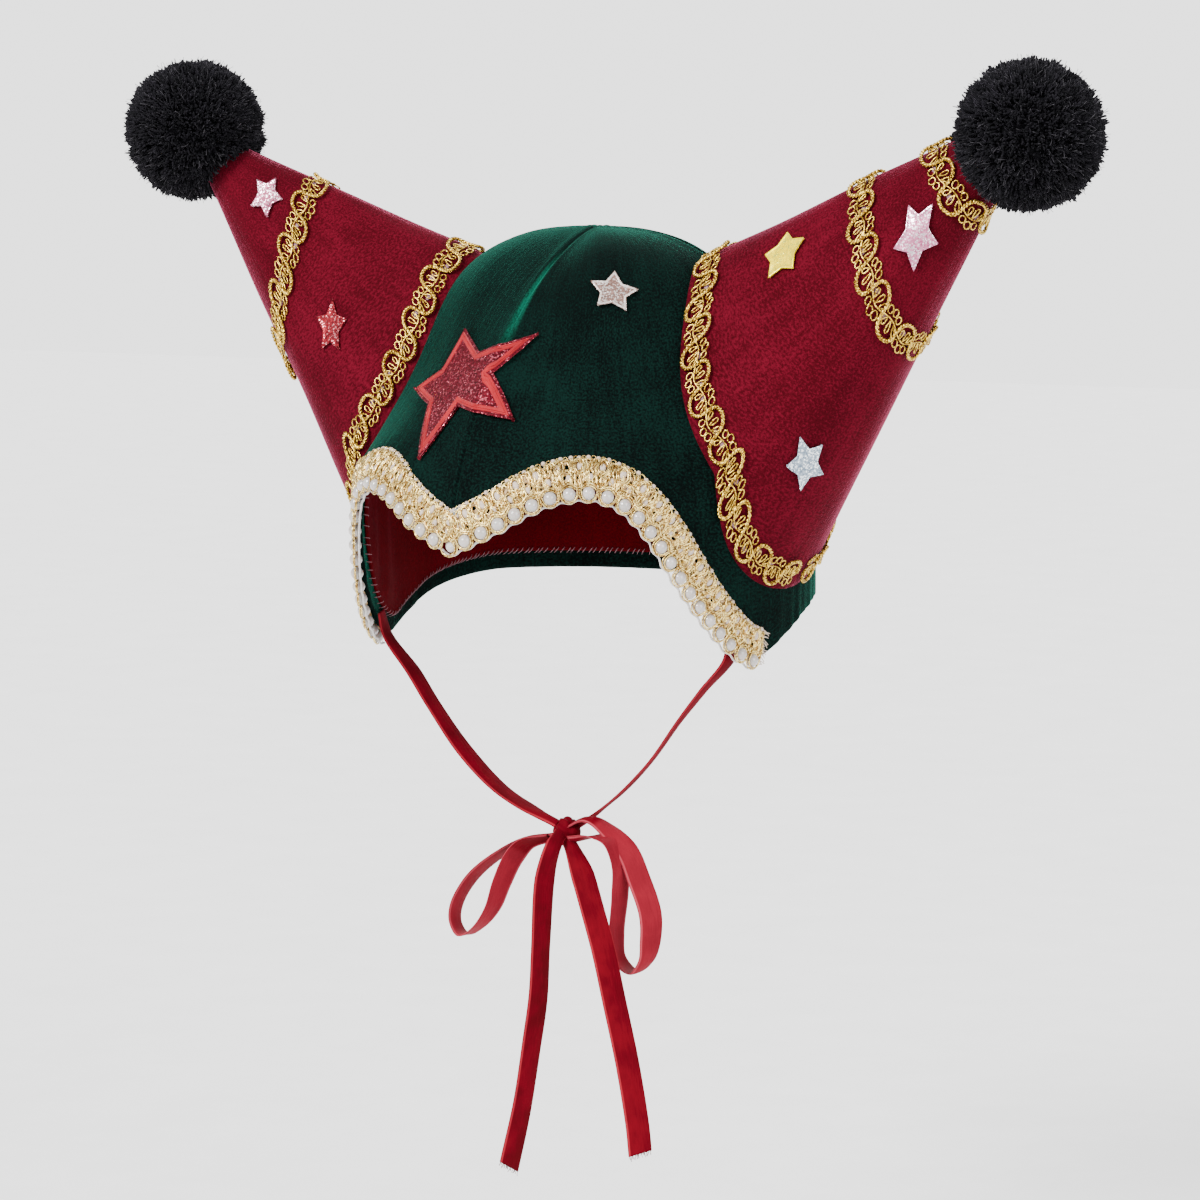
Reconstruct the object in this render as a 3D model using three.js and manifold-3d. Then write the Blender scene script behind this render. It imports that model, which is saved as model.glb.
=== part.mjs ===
// A two-horned jester hat in velvet, with gold scroll braid, a pearl-edged brow trim, stars, pompoms and ribbon ties.
// Millimetres. +Z is up, the face looks along -Y, and +X is the wearer's left.
// The origin is the inside of the crown's top, where the hat sits on the head.
import * as THREE from 'three';
import { mergeVertices } from 'three/addons/utils/BufferGeometryUtils.js';
import Module from 'manifold-3d';

const wasm = await Module();
wasm.setup();

// Cloth walls and clearances
const velvetWall = 2.4;
const liningWall = 1.2;
const liningGap = 0.5;
const seatGap = 0.3;
const trimGap = 0.5;

// Crown: a peaked dome over a plan that reaches further to the brow than to the nape
const crownHalfWidth = 95;
const browReach = 120;
const napeReach = 86;
const crownCentreY = 5;
const crownRise = 124;
const browRoundness = 1.55;
const napeRoundness = 2.1;
const sideRoundness = 2.6;
const browPinch = 0.2;
const napePinch = 0.18;
const pinchEnd = 0.87;
const pinchBias = 1.6;
const skirtTaper = 0.04;
const crownRows = 6;

// Rim: the depth of the brow arches below the seat, and how far the ear flaps hang below the arches
const browDepth = 97;
const flapDepth = 74;
const hemDepth = 9;

// The rim's drop, as a share of flapDepth, at each turn in degrees from the centre of the brow to the nape
const rimTable = [
  { turn: 0, drop: 0.305 },
  { turn: 6, drop: 0.24 },
  { turn: 12, drop: 0.17 },
  { turn: 18, drop: 0.09 },
  { turn: 25, drop: 0.025 },
  { turn: 34, drop: 0 },
  { turn: 41, drop: 0.045 },
  { turn: 46, drop: 0.135 },
  { turn: 51, drop: 0.285 },
  { turn: 56, drop: 0.48 },
  { turn: 62, drop: 0.69 },
  { turn: 69, drop: 0.88 },
  { turn: 74, drop: 0.965 },
  { turn: 79, drop: 1 },
  { turn: 85, drop: 0.93 },
  { turn: 92, drop: 0.85 },
  { turn: 100, drop: 0.79 },
  { turn: 110, drop: 0.74 },
  { turn: 122, drop: 0.705 },
  { turn: 136, drop: 0.7 },
  { turn: 150, drop: 0.7 },
  { turn: 165, drop: 0.705 },
  { turn: 180, drop: 0.71 },
];

// Cones: each springs from an egg-shaped ring on the side of the crown and leans up to its apex
const ringOut = 76.6;
const ringDrop = 73.7;
const ringTilt = 18.6;
const ringHalfLength = 69;
const ringHalfDepth = 45;
const ringEgg = 0.32;
const coneReach = 211.6;
const coneTipShare = 0.1;
const coneRootShare = 1.12;
const coneColumns = 24;

// Pompoms
const pompomRadius = 31;
const pompomCore = 26;
const pompomInset = 7.6;
const pompomRise = 44;

// Scroll braid: scrolls bulge to alternate sides of a narrow waist
const braidHalfWidth = 7;
const braidLoopEdge = 5.4;
const braidWaist = 3.6;
const braidThickness = 1.2;
const scrollPitch = 19;
const braidSeamMargin = 2.5;
const braidEndGap = 2.5;

// Brow trim: a woven band along the rim, and a row of pearls that hangs just below the cloth
const bandWidth = 9.5;
const bandThickness = 1.8;
const bandGap = 0.8;
const trimEndTurn = 77;
const bandColumns = 50;
const pearlRadius = 2.75;
const pearlPitch = 8;
const pearlDrop = 3.8;
const pearlProud = 1;
const pearlThread = 0.7;
const pearlSides = 10;

// Stars
const starThickness = 1.4;
const starInnerShare = 0.47;
const bigStarReach = 45;
const bigStarTurn = -17;
const bigStarDrop = 61;
const bigStarBorder = 3.4;
const bigStarThickness = 2.6;
const bigStarWell = 0.5;
const bigStarRings = 3;

// Ribbon ties
const ribbonWidth = 10;
const ribbonThickness = 1;
const ribbonGather = 0.6;
const knotSides = 10;
const strapTurn = 71;
const strapRise = 3.5;
const knotWidth = 12;
const knotDepth = 10;
const knotHeight = 12;

// The two sides: how high each apex stands, where the braids cross the cone as shares from apex to ring,
// and the cone's stars by share, turn round the cone in degrees from its upper line, reach and spin
const sides = [
  {
    name: 'left',
    out: 1,
    apexRise: 60,
    braids: [
      { name: 'middle', share: 0.51, slant: 0 },
      { name: 'tip', share: 0.28, slant: 0.03 },
    ],
    stars: [
      { name: 'yellow', share: 0.727, around: 48, reach: 10.6, spin: 8, colour: 0xe8d23c },
      { name: 'pink_glitter', share: 0.379, around: 104, reach: 12.6, spin: 20, colour: 0xe7a9bd },
      { name: 'silver', share: 0.807, around: 143, reach: 11, spin: -8, colour: 0xaab4bd },
    ],
  },
  {
    name: 'right',
    out: -1,
    apexRise: 49,
    braids: [{ name: 'middle', share: 0.53, slant: -0.055 }],
    stars: [
      { name: 'pink', share: 0.374, around: 60, reach: 9.6, spin: -14, colour: 0xdc8fa6 },
      { name: 'red', share: 0.746, around: 87, reach: 10.6, spin: 16, colour: 0xb5303a },
    ],
  },
];

// The brow star's tips and notches: reach as a share of bigStarReach, and bearing in degrees from straight up
const bigStarTable = [
  { bearing: -26, reach: 0.71 },
  { bearing: 21, reach: 0.42 },
  { bearing: 47, reach: 0.91 },
  { bearing: 69, reach: 0.5 },
  { bearing: 110, reach: 1 },
  { bearing: 128, reach: 0.33 },
  { bearing: 173, reach: 0.82 },
  { bearing: 229, reach: 0.34 },
  { bearing: 264, reach: 0.8 },
  { bearing: 295, reach: 0.41 },
];

// Chin straps: share is how far each point lies on the way from the knot to the flap
const strapRoutes = {
  left: [
    { share: 0.972, y: -31, z: -172, twist: -8 },
    { share: 0.796, y: -31, z: -187, twist: 5 },
    { share: 0.661, y: -33, z: -200, twist: 8 },
    { share: 0.478, y: -34, z: -218.2, twist: 10 },
    { share: 0.274, y: -35, z: -233.5, twist: 10 },
    { share: 0.104, y: -37, z: -242.7, twist: 8 },
    { share: 0.027, y: -39.5, z: -246, twist: 6 },
  ],
  right: [
    { share: 0.979, y: -31, z: -172, twist: 8 },
    { share: 0.846, y: -31, z: -187, twist: -5 },
    { share: 0.734, y: -33, z: -200, twist: -8 },
    { share: 0.55, y: -36, z: -219, twist: -10 },
    { share: 0.347, y: -39, z: -234, twist: -10 },
    { share: 0.143, y: -41, z: -243, twist: -8 },
    { share: 0.041, y: -42, z: -247, twist: -6 },
  ],
};

// Ribbon routes, each point with the twist of the ribbon about its run: 0 edge-on to the front, 90 facing it
const ribbonRoutes = {
  bow_loop_right: [
    { x: 8, y: -43, z: -250.5, twist: -25 },
    { x: -3.2, y: -45, z: -252.6, twist: -20 },
    { x: -17, y: -47, z: -259.6, twist: -12 },
    { x: -30, y: -49.5, z: -270.6, twist: -10 },
    { x: -36.8, y: -51.5, z: -282.6, twist: -6 },
    { x: -36.6, y: -53, z: -289.9, twist: 0 },
    { x: -31.8, y: -54, z: -295.1, twist: 0 },
    { x: -24.7, y: -54, z: -291.4, twist: -5 },
    { x: -17.8, y: -53.5, z: -282.7, twist: -18 },
    { x: -13.7, y: -52.5, z: -271.5, twist: -30 },
    { x: -9.1, y: -51, z: -261.1, twist: -35 },
    { x: -3.4, y: -50, z: -254.7, twist: -35 },
    { x: 6, y: -47, z: -252, twist: -30 },
  ],
  bow_loop_left: [
    { x: 15, y: -43, z: -247.5, twist: -20 },
    { x: 24.7, y: -43.5, z: -243.2, twist: -12 },
    { x: 32.5, y: -43.5, z: -246.7, twist: -20 },
    { x: 41.4, y: -42.5, z: -254.8, twist: -40 },
    { x: 46.4, y: -41, z: -266.8, twist: -45 },
    { x: 51, y: -39.5, z: -281.5, twist: -45 },
    { x: 50.4, y: -38.5, z: -293.8, twist: -35 },
    { x: 48.4, y: -38.5, z: -301.5, twist: -15 },
    { x: 43, y: -39, z: -306.8, twist: 0 },
    { x: 36.7, y: -40, z: -301.8, twist: -5 },
    { x: 35.7, y: -41, z: -291.5, twist: -13 },
    { x: 38.4, y: -43, z: -274, twist: -15 },
    { x: 40.1, y: -46, z: -260, twist: -15 },
    { x: 36.6, y: -48, z: -250.7, twist: -10 },
    { x: 31.2, y: -48, z: -248.6, twist: -10 },
    { x: 16, y: -45, z: -250.5, twist: -10 },
  ],
  ribbon_tail_right: [
    { x: 11, y: -45, z: -249, twist: -60 },
    { x: 12, y: -54, z: -254.5, twist: -40 },
    { x: 8.4, y: -54, z: -266.6, twist: -28 },
    { x: 6.2, y: -54, z: -296.6, twist: -25 },
    { x: 4.9, y: -54, z: -318.6, twist: -25 },
    { x: 1.6, y: -54, z: -339.6, twist: -25 },
    { x: -2.7, y: -54.5, z: -365.7, twist: -28 },
    { x: -9, y: -55, z: -392.7, twist: -30 },
  ],
  ribbon_tail_left: [
    { x: 13, y: -43, z: -252, twist: -60 },
    { x: 17.9, y: -47, z: -256.1, twist: -60 },
    { x: 24.2, y: -50, z: -265.3, twist: -60 },
    { x: 30, y: -52, z: -278.7, twist: -60 },
    { x: 36.1, y: -53, z: -296.1, twist: -60 },
    { x: 41.3, y: -53, z: -316.9, twist: -60 },
    { x: 47.6, y: -53, z: -342.5, twist: -60 },
    { x: 52.5, y: -53, z: -368.3, twist: -60 },
    { x: 53.9, y: -53, z: -380.5, twist: -60 },
  ],
};
const knotPlace = new THREE.Vector3(12, -42, -249);

// Finishes
const finishes = {
  green: { color: 0x0f3b2e, roughness: 0.92, metalness: 0 },
  burgundy: { color: 0x7a1028, roughness: 0.9, metalness: 0 },
  lining: { color: 0x4a0c18, roughness: 0.8, metalness: 0 },
  black: { color: 0x0b0b0e, roughness: 1, metalness: 0 },
  gold: { color: 0xd3b25a, roughness: 0.35, metalness: 0.85 },
  crochet: { color: 0xd9bf7a, roughness: 0.55, metalness: 0.45 },
  pearl: { color: 0xf1ede4, roughness: 0.25, metalness: 0 },
  coral: { color: 0xb9323f, roughness: 0.55, metalness: 0.1 },
  ribbon: { color: 0x96152b, roughness: 0.85, metalness: 0 },
};

const up = new THREE.Vector3(0, 0, 1);
const crownTop = velvetWall + liningGap + liningWall;
const widestLevel = crownTop - crownRise;
const radians = THREE.MathUtils.degToRad;

// Reads a smooth curve through a table's rows
function fromTable(rows, from, to, at) {
  const last = rows.length - 1;
  const after = rows.findIndex((row) => row[from] >= at);
  const i = THREE.MathUtils.clamp(after - 1, 0, last - 1);
  const slope = (k) => {
    const a = rows[Math.max(k - 1, 0)];
    const b = rows[Math.min(k + 1, last)];
    return (b[to] - a[to]) / (b[from] - a[from]);
  };
  const run = rows[i + 1][from] - rows[i][from];
  const t = (at - rows[i][from]) / run;
  const rise = (1 + 2 * t) * (1 - t) ** 2 * rows[i][to] + t * t * (3 - 2 * t) * rows[i + 1][to];
  return rise + run * (t * (1 - t) ** 2 * slope(i) - t * t * (1 - t) * slope(i + 1));
}

// Triangles that two rows of points span, in the order that faces away from the wall's inside
function stitch(faces, rows, closed, inward) {
  for (let r = 0; r + 1 < rows.length; r += 1) {
    const count = rows[r].length;
    for (let c = 0; c < (closed ? count : count - 1); c += 1) {
      const a = rows[r][c];
      const b = rows[r][(c + 1) % count];
      const d = rows[r + 1][(c + 1) % count];
      const e = rows[r + 1][c];
      faces.push(...(inward ? [a, b, d, a, d, e] : [a, d, b, a, e, d]));
    }
  }
}

// A closed mesh from loose triangles: shared corners merged, collapsed ones dropped, all facing out
function closedMesh(faces) {
  const loose = new THREE.BufferGeometry().setFromPoints(faces);
  const merged = mergeVertices(loose, 1e-4);
  const index = merged.index.array;
  const place = merged.attributes.position;
  const corners = [0, 1, 2].map(() => new THREE.Vector3());
  const kept = [];
  let volume = 0;
  for (let i = 0; i < index.length; i += 3) {
    const triangle = [index[i], index[i + 1], index[i + 2]];
    if (new Set(triangle).size === 3) {
      corners.forEach((corner, k) => corner.fromBufferAttribute(place, triangle[k]));
      volume += corners[0].dot(corners[1].clone().cross(corners[2]));
      kept.push(triangle);
    }
  }
  merged.setIndex(kept.flatMap((triangle) => (volume < 0 ? triangle.reverse() : triangle)));
  return merged;
}

// A wall between two sheets of points that have the same rows and columns
function wallBetween(outer, inner, closed) {
  const faces = [];
  const last = outer.length - 1;
  stitch(faces, outer, closed, false);
  stitch(faces, inner, closed, true);
  stitch(faces, [inner[0], outer[0]], closed, false);
  stitch(faces, [outer[last], inner[last]], closed, false);
  if (!closed) {
    const side = (sheet, c) => sheet.map((row) => row.at(c));
    stitch(faces, [side(inner, 0), side(outer, 0)], false, true);
    stitch(faces, [side(outer, -1), side(inner, -1)], false, true);
  }
  return closedMesh(faces);
}

function toManifold(geometry) {
  const vertProperties = Float32Array.from(geometry.attributes.position.array);
  const triVerts = Uint32Array.from(geometry.index.array);
  return new wasm.Manifold(new wasm.Mesh({ numProp: 3, vertProperties, triVerts }));
}

function fromManifold(solid) {
  const mesh = solid.getMesh();
  const geometry = new THREE.BufferGeometry();
  geometry.setAttribute('position', new THREE.BufferAttribute(mesh.vertProperties, 3));
  geometry.setIndex([...mesh.triVerts]);
  return geometry;
}

function cut(geometry, ...tools) {
  const solid = tools.reduce((body, tool) => body.subtract(toManifold(tool)), toManifold(geometry));
  return fromManifold(solid);
}

// Outward direction of a surface, given a point that lies behind it
function outwardOf(surface, a, b, behind) {
  const step = 1e-3;
  const across = surface(a + step, b).sub(surface(a - step, b));
  const along = surface(a, b + step).sub(surface(a, b - step));
  const normal = across.cross(along).normalize();
  return normal.dot(surface(a, b).sub(behind)) < 0 ? normal.negate() : normal;
}

function crownRoundness(turn) {
  const facing = Math.cos(turn);
  const end = facing > 0 ? browRoundness : napeRoundness;
  return sideRoundness + (end - sideRoundness) * facing * facing;
}

// The panels fall in between the centre seam and the cones, most at mid height
function panelFall(turn, level) {
  const depth = Math.cos(turn) > 0 ? browPinch : napePinch;
  const share = Math.min(1, (Math.max(0, level) / pinchEnd) ** pinchBias);
  return depth * Math.abs(Math.sin(2 * turn)) * Math.sin(Math.PI * share);
}

// A point of the crown's outside: level 0 is the top, 1 the widest height, and beyond it the skirt
function crownPoint(turn, level) {
  const slope = radians(90 * (1 - level));
  const p = crownRoundness(turn);
  let reach = 1;
  let rise = 1 - level;
  if (level < 1) {
    const size = (Math.abs(Math.cos(slope)) ** p + Math.sin(slope) ** p) ** (-1 / p);
    reach = size * Math.cos(slope) * (1 - panelFall(turn, level));
    rise = size * Math.sin(slope);
  } else {
    reach = 1 - skirtTaper * rise * rise;
  }
  const depth = Math.cos(turn) > 0 ? browReach : napeReach;
  const x = crownHalfWidth * reach * Math.sin(turn);
  const y = crownCentreY - depth * reach * Math.cos(turn);
  return new THREE.Vector3(x, y, widestLevel + crownRise * rise);
}

function crownAt(turn, level, proud) {
  const behind = new THREE.Vector3(0, crownCentreY, widestLevel);
  const normal = level < 1e-6 ? up.clone() : outwardOf(crownPoint, turn, level, behind);
  return crownPoint(turn, level).addScaledVector(normal, proud);
}

function levelAtHeight(turn, height) {
  const rise = (height - widestLevel) / crownRise;
  if (rise <= 0) {
    return 1 - rise;
  }
  const p = crownRoundness(turn);
  return 1 - Math.atan2(rise, (1 - rise ** p) ** (1 / p)) / (Math.PI / 2);
}

// The crown's outside level with a point, at the point's turn round the crown
function ontoCrown(point, proud) {
  const depth = point.y < crownCentreY ? browReach : napeReach;
  const turn = Math.atan2(point.x / crownHalfWidth, (crownCentreY - point.y) / depth);
  return crownAt(turn, levelAtHeight(turn, point.z), proud);
}

function rimHeight(turn) {
  const degrees = Math.abs(THREE.MathUtils.radToDeg(turn));
  return -browDepth - flapDepth * fromTable(rimTable, 'turn', 'drop', degrees);
}

const crownTurns = [
  ...rimTable.map((row) => row.turn),
  ...rimTable.slice(1, -1).map((row) => -row.turn).reverse(),
].map((turn) => radians(turn));

// Rows of points from the crown's top to the hem line, at a depth under the outside, and then the rim
function crownSheet(proud) {
  const row = (levelAt) => crownTurns.map((turn) => crownAt(turn, levelAt(turn), proud));
  const hemLevel = (turn) => levelAtHeight(turn, rimHeight(turn) + hemDepth);
  const rows = Array.from({ length: crownRows + 1 }, (_, r) => row((turn) => (hemLevel(turn) * r) / crownRows));
  return [...rows, row((turn) => levelAtHeight(turn, rimHeight(turn)))];
}

function crownGeometry() {
  return wallBetween(crownSheet(0), crownSheet(-velvetWall), true);
}

// The crown filled solid and grown, which trims what is sewn onto it
function crownBlock(proud) {
  const sheet = crownSheet(proud);
  const floor = widestLevel - crownRise;
  const skirt = sheet.at(-1).map((point) => new THREE.Vector3(point.x, point.y, floor));
  const base = skirt.map(() => new THREE.Vector3(0, crownCentreY, floor));
  const faces = [];
  stitch(faces, [...sheet, skirt, base], true, false);
  return closedMesh(faces);
}

// The lining ends at the hem line
function liningGeometry() {
  const depths = [velvetWall + liningGap, velvetWall + liningGap + liningWall];
  const [outer, inner] = depths.map((depth) => crownSheet(-depth).slice(0, -1));
  return wallBetween(outer, inner, true);
}

function conePoint(side, share, around) {
  const tilt = radians(ringTilt);
  const apex = new THREE.Vector3(side.out * coneReach, 0, side.apexRise);
  const below = -ringHalfLength * Math.cos(around);
  const ring = new THREE.Vector3(
    side.out * (ringOut + below * Math.sin(tilt)),
    -ringHalfDepth * Math.sin(around) * (1 - ringEgg * Math.cos(around)),
    -ringDrop - below * Math.cos(tilt),
  );
  return apex.lerp(ring, share);
}

function coneAt(side, share, around, proud) {
  const axis = new THREE.Vector3(side.out * coneReach, 0, side.apexRise);
  axis.lerp(new THREE.Vector3(side.out * ringOut, 0, -ringDrop), share);
  const normal = outwardOf((s, a) => conePoint(side, s, a), share, around, axis);
  return conePoint(side, share, around).addScaledVector(normal, proud);
}

// Rings of points from a closed tip down a cone, at a depth under its outside
function coneSheet(side, proud) {
  const turns = Array.from({ length: coneColumns }, (_, c) => (2 * Math.PI * c) / coneColumns);
  const slant = conePoint(side, 1, 0).distanceTo(conePoint(side, 0, 0));
  const tip = coneTipShare - proud / slant;
  const shares = [tip, coneRootShare];
  const rings = shares.map((share) => turns.map((around) => coneAt(side, share, around, proud)));
  const centre = rings[0].reduce((sum, point) => sum.add(point), new THREE.Vector3());
  centre.divideScalar(coneColumns);
  return [turns.map(() => centre.clone()), ...rings];
}

// The cone filled solid and grown, which trims what goes round it
function coneBlock(side, proud) {
  const sheet = coneSheet(side, proud);
  const end = sheet.at(-1);
  const middle = end.reduce((sum, point) => sum.add(point), new THREE.Vector3());
  middle.divideScalar(end.length);
  const faces = [];
  stitch(faces, [...sheet, end.map(() => middle)], true, false);
  return closedMesh(faces);
}

function coneGeometry(side) {
  const shell = wallBetween(coneSheet(side, 0), coneSheet(side, -velvetWall), true);
  return cut(shell, crownBlock(seatGap));
}

// Locks of yarn stand up from a round head, and the cone's tip goes into it
function pompomGeometry(side) {
  const centre = new THREE.Vector3(side.out * (coneReach - pompomInset), 0, pompomRise);
  const ball = new THREE.IcosahedronGeometry(pompomCore, 2);
  const place = ball.attributes.position;
  const faces = [];
  for (let i = 0; i < place.count; i += 3) {
    const corners = [0, 1, 2].map((k) => new THREE.Vector3().fromBufferAttribute(place, i + k));
    const lock = corners[0].clone().add(corners[1]).add(corners[2]).setLength(pompomRadius);
    corners.forEach((corner, k) => faces.push(corner, corners[(k + 1) % 3], lock));
  }
  const head = closedMesh(faces.map((point) => point.clone().add(centre)));
  return cut(head, coneBlock(side, seatGap));
}

// The share at which a line down the cone meets the crown
function seamShare(side, around) {
  let outside = coneTipShare;
  let inside = coneRootShare;
  for (let i = 0; i < 24; i += 1) {
    const middle = (outside + inside) / 2;
    const point = conePoint(side, middle, around);
    const wall = ontoCrown(point, 0);
    const reach = Math.hypot(point.x, point.y - crownCentreY);
    const hidden = point.z < crownTop && reach < Math.hypot(wall.x, wall.y - crownCentreY);
    if (hidden) {
      inside = middle;
    } else {
      outside = middle;
    }
  }
  return outside;
}

// Points a set distance apart along a path given by a parameter
function evenSteps(path, from, to, count) {
  const fine = 600;
  const marks = Array.from({ length: fine + 1 }, (_, i) => from + ((to - from) * i) / fine);
  const runs = [0];
  for (let i = 1; i <= fine; i += 1) {
    runs.push(runs[i - 1] + path(marks[i]).distanceTo(path(marks[i - 1])));
  }
  const total = runs[fine];
  const steps = count(total);
  const marked = Array.from({ length: steps + 1 }, (_, k) => {
    const goal = (total * k) / steps;
    const i = Math.min(fine, Math.max(1, runs.findIndex((run) => run >= goal)));
    const share = (goal - runs[i - 1]) / (runs[i] - runs[i - 1]);
    return marks[i - 1] + (marks[i] - marks[i - 1]) * share;
  });
  return { marks: marked, length: total };
}

// A band of scrolls that bulge to alternate sides, pierced once in each
function scrollBraid(place, from, to, lift) {
  const middle = (mark) => place(mark, 0, 0);
  const cells = (length) => Math.round(length / scrollPitch);
  const { marks } = evenSteps(middle, from, to, cells);
  const faces = [];
  for (let k = 0; k + 1 < marks.length; k += 1) {
    const side = k % 2 ? -1 : 1;
    const contour = [
      [0, -braidWaist],
      [0.5, -braidLoopEdge],
      [1, -braidWaist],
      [1, braidWaist],
      [0.78, braidHalfWidth],
      [0.22, braidHalfWidth],
      [0, braidWaist],
    ].map(([run, w]) => new THREE.Vector2(run, w * side));
    const hole = [
      [0.2, braidWaist / 2],
      [0.5, braidHalfWidth - 2],
      [0.8, braidWaist / 2],
    ].map(([run, w]) => new THREE.Vector2(run, w * side));
    if (side < 0) {
      contour.reverse();
      hole.reverse();
    }
    const flat = [...contour, ...hole];
    const [low, high] = [lift, lift + braidThickness].map((proud) =>
      flat.map((point) => place(marks[k] + (marks[k + 1] - marks[k]) * point.x, point.y, proud)),
    );
    THREE.ShapeUtils.triangulateShape(contour, [hole]).forEach(([a, b, c]) => {
      faces.push(high[a], high[b], high[c], low[a], low[c], low[b]);
    });
    const wall = (a, b) => faces.push(low[a], low[b], high[b], low[a], high[b], high[a]);
    const atStart = (i) => k > 0 && flat[i].x === 0;
    const atEnd = (i) => k + 2 < marks.length && flat[i].x === 1;
    const shared = (a, b) => (atStart(a) && atStart(b)) || (atEnd(a) && atEnd(b));
    contour.forEach((_, a) => {
      const b = (a + 1) % contour.length;
      if (!shared(a, b)) {
        wall(a, b);
      }
    });
    hole.forEach((_, i) => wall(contour.length + i, contour.length + ((i + 1) % hole.length)));
  }
  return closedMesh(faces);
}

// A braid laid round a cone, its width measured square to its run, and lifted to clear the curve under flat facets
function coneBraid(side, shareAt, from, to, radius) {
  const path = (around) => conePoint(side, shareAt(around), around);
  const place = (around, w, proud) => {
    const share = shareAt(around);
    const line = conePoint(side, 1, around).sub(conePoint(side, 0, around));
    const run = path(around + 1e-3).sub(path(around - 1e-3));
    const slope = Math.sin(line.angleTo(run));
    return coneAt(side, share + w / (line.length() * slope), around, proud);
  };
  const facet = scrollPitch / 2;
  const braid = scrollBraid(place, from, to, trimGap + (facet * facet) / (8 * radius));
  return cut(braid, coneBlock(side, seatGap));
}

function baseBraid(side) {
  const shareAt = (around) => {
    const slant = conePoint(side, 1, around).distanceTo(conePoint(side, 0, around));
    return seamShare(side, around) - (braidHalfWidth + braidSeamMargin) / slant;
  };
  const open = braidEndGap / ringHalfDepth;
  return coneBraid(side, shareAt, open - Math.PI, Math.PI - open, ringHalfDepth);
}

function ringBraid(side, row) {
  const shareAt = (around) => row.share + row.slant * Math.cos(around);
  const radius = ringHalfDepth * row.share;
  const open = braidEndGap / radius;
  return coneBraid(side, shareAt, open - Math.PI / 2, 1.5 * Math.PI - open, radius);
}

// A place on the brow trim: w up from the cloth's edge along the crown, and proud of its outside
function trimPlace(turn, w, proud) {
  const rim = (at) => crownPoint(at, levelAtHeight(at, rimHeight(at)));
  const step = 5e-3;
  const run = rim(turn + step).sub(rim(turn - step)).normalize();
  const out = rim(turn).sub(new THREE.Vector3(0, crownCentreY, rim(turn).z)).normalize();
  const rise = run.clone().cross(out).normalize();
  const lift = rise.z < 0 ? rise.negate() : rise;
  return ontoCrown(rim(turn).addScaledVector(lift, w), proud);
}

function bandGeometry() {
  const end = radians(trimEndTurn);
  const { marks } = evenSteps((turn) => trimPlace(turn, 0, 0), -end, end, () => bandColumns);
  const [outer, inner] = [bandGap + bandThickness, bandGap].map((proud) =>
    [bandWidth, 0].map((w) => marks.map((turn) => trimPlace(turn, w, proud))),
  );
  return wallBetween(outer, inner, false);
}

// Round pearls on one thread, as a tube whose radius swells at each
function pearlStringGeometry() {
  const end = radians(trimEndTurn);
  const path = (turn) => trimPlace(turn, -pearlDrop, pearlProud);
  const pearls = (length) => Math.round(length / pearlPitch);
  const { marks, length } = evenSteps(path, -end, end, pearls);
  const span = length / (marks.length - 1);
  const spots = new THREE.CatmullRomCurve3(marks.map(path));
  const shoulder = 0.42;
  const profile = [
    { at: -0.5 * span, radius: pearlThread },
    { at: -shoulder * pearlRadius, radius: pearlRadius },
    { at: shoulder * pearlRadius, radius: pearlRadius },
  ];
  const rings = [];
  const count = marks.length - 1;
  const ringAt = (distance, radius) => {
    const share = THREE.MathUtils.clamp(distance / length, 0, 1);
    const centre = spots.getPoint(share);
    const run = spots.getTangent(share);
    const rise = up.clone().addScaledVector(run, -run.z).normalize();
    const out = run.clone().cross(rise);
    return Array.from({ length: pearlSides }, (_, k) => {
      const angle = (2 * Math.PI * k) / pearlSides;
      const reach = centre.clone().addScaledVector(rise, radius * Math.cos(angle));
      return reach.addScaledVector(out, radius * Math.sin(angle));
    });
  };
  for (let k = 0; k < count; k += 1) {
    profile.forEach((row) => rings.push(ringAt((k + 0.5) * span + row.at, row.radius)));
  }
  rings.push(ringAt(length, pearlThread));
  const cap = (ring) => {
    const centre = ring.reduce((sum, point) => sum.add(point), new THREE.Vector3());
    return ring.map(() => centre.clone().divideScalar(ring.length));
  };
  const faces = [];
  stitch(faces, [cap(rings[0]), ...rings, cap(rings.at(-1))], true, false);
  return closedMesh(faces);
}

// Corners, in clockwise order, moved in from their outline by a border's width square to each edge
function insetCorners(corners, border) {
  return corners.map(([u, v], i) => {
    const before = corners.at(i - 1);
    const after = corners[(i + 1) % corners.length];
    const a = new THREE.Vector2(v - before[1], before[0] - u).normalize();
    const b = new THREE.Vector2(after[1] - v, u - after[0]).normalize();
    const shift = a.clone().add(b).multiplyScalar(border / (1 + a.dot(b)));
    return [u + shift.x, v + shift.y];
  });
}

// A patch laid on a surface: rings of corners step in from its outline, each at its own height, with more rings
// between them and the middle where the surface bends
function starPatch(place, corners, steps, rings) {
  const ringAt = (border, proud, scale) => {
    const ring = border ? insetCorners(corners, border) : corners;
    return ring.map(([u, v]) => place(u * scale, v * scale, proud));
  };
  const scales = Array.from({ length: rings }, (_, i) => i / rings);
  const last = steps.at(-1);
  const floor = scales.map((scale) => ringAt(0, trimGap, scale));
  const edge = [ringAt(0, trimGap, 1), ...steps.map((step) => ringAt(step.border, trimGap + step.height, 1))];
  const top = scales.map((scale) => ringAt(last.border, trimGap + last.height, scale)).reverse();
  const faces = [];
  stitch(faces, [...floor, ...edge, ...top], true, false);
  return closedMesh(faces);
}

// Corners of a regular star, with the middle of each edge so that it can bend
function regularStar(reach, spin) {
  return Array.from({ length: 10 }, (_, i) => {
    const bearing = radians(spin + 36 * i);
    const size = i % 2 ? reach * starInnerShare : reach;
    return [size * Math.sin(bearing), size * Math.cos(bearing)];
  });
}

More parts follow.
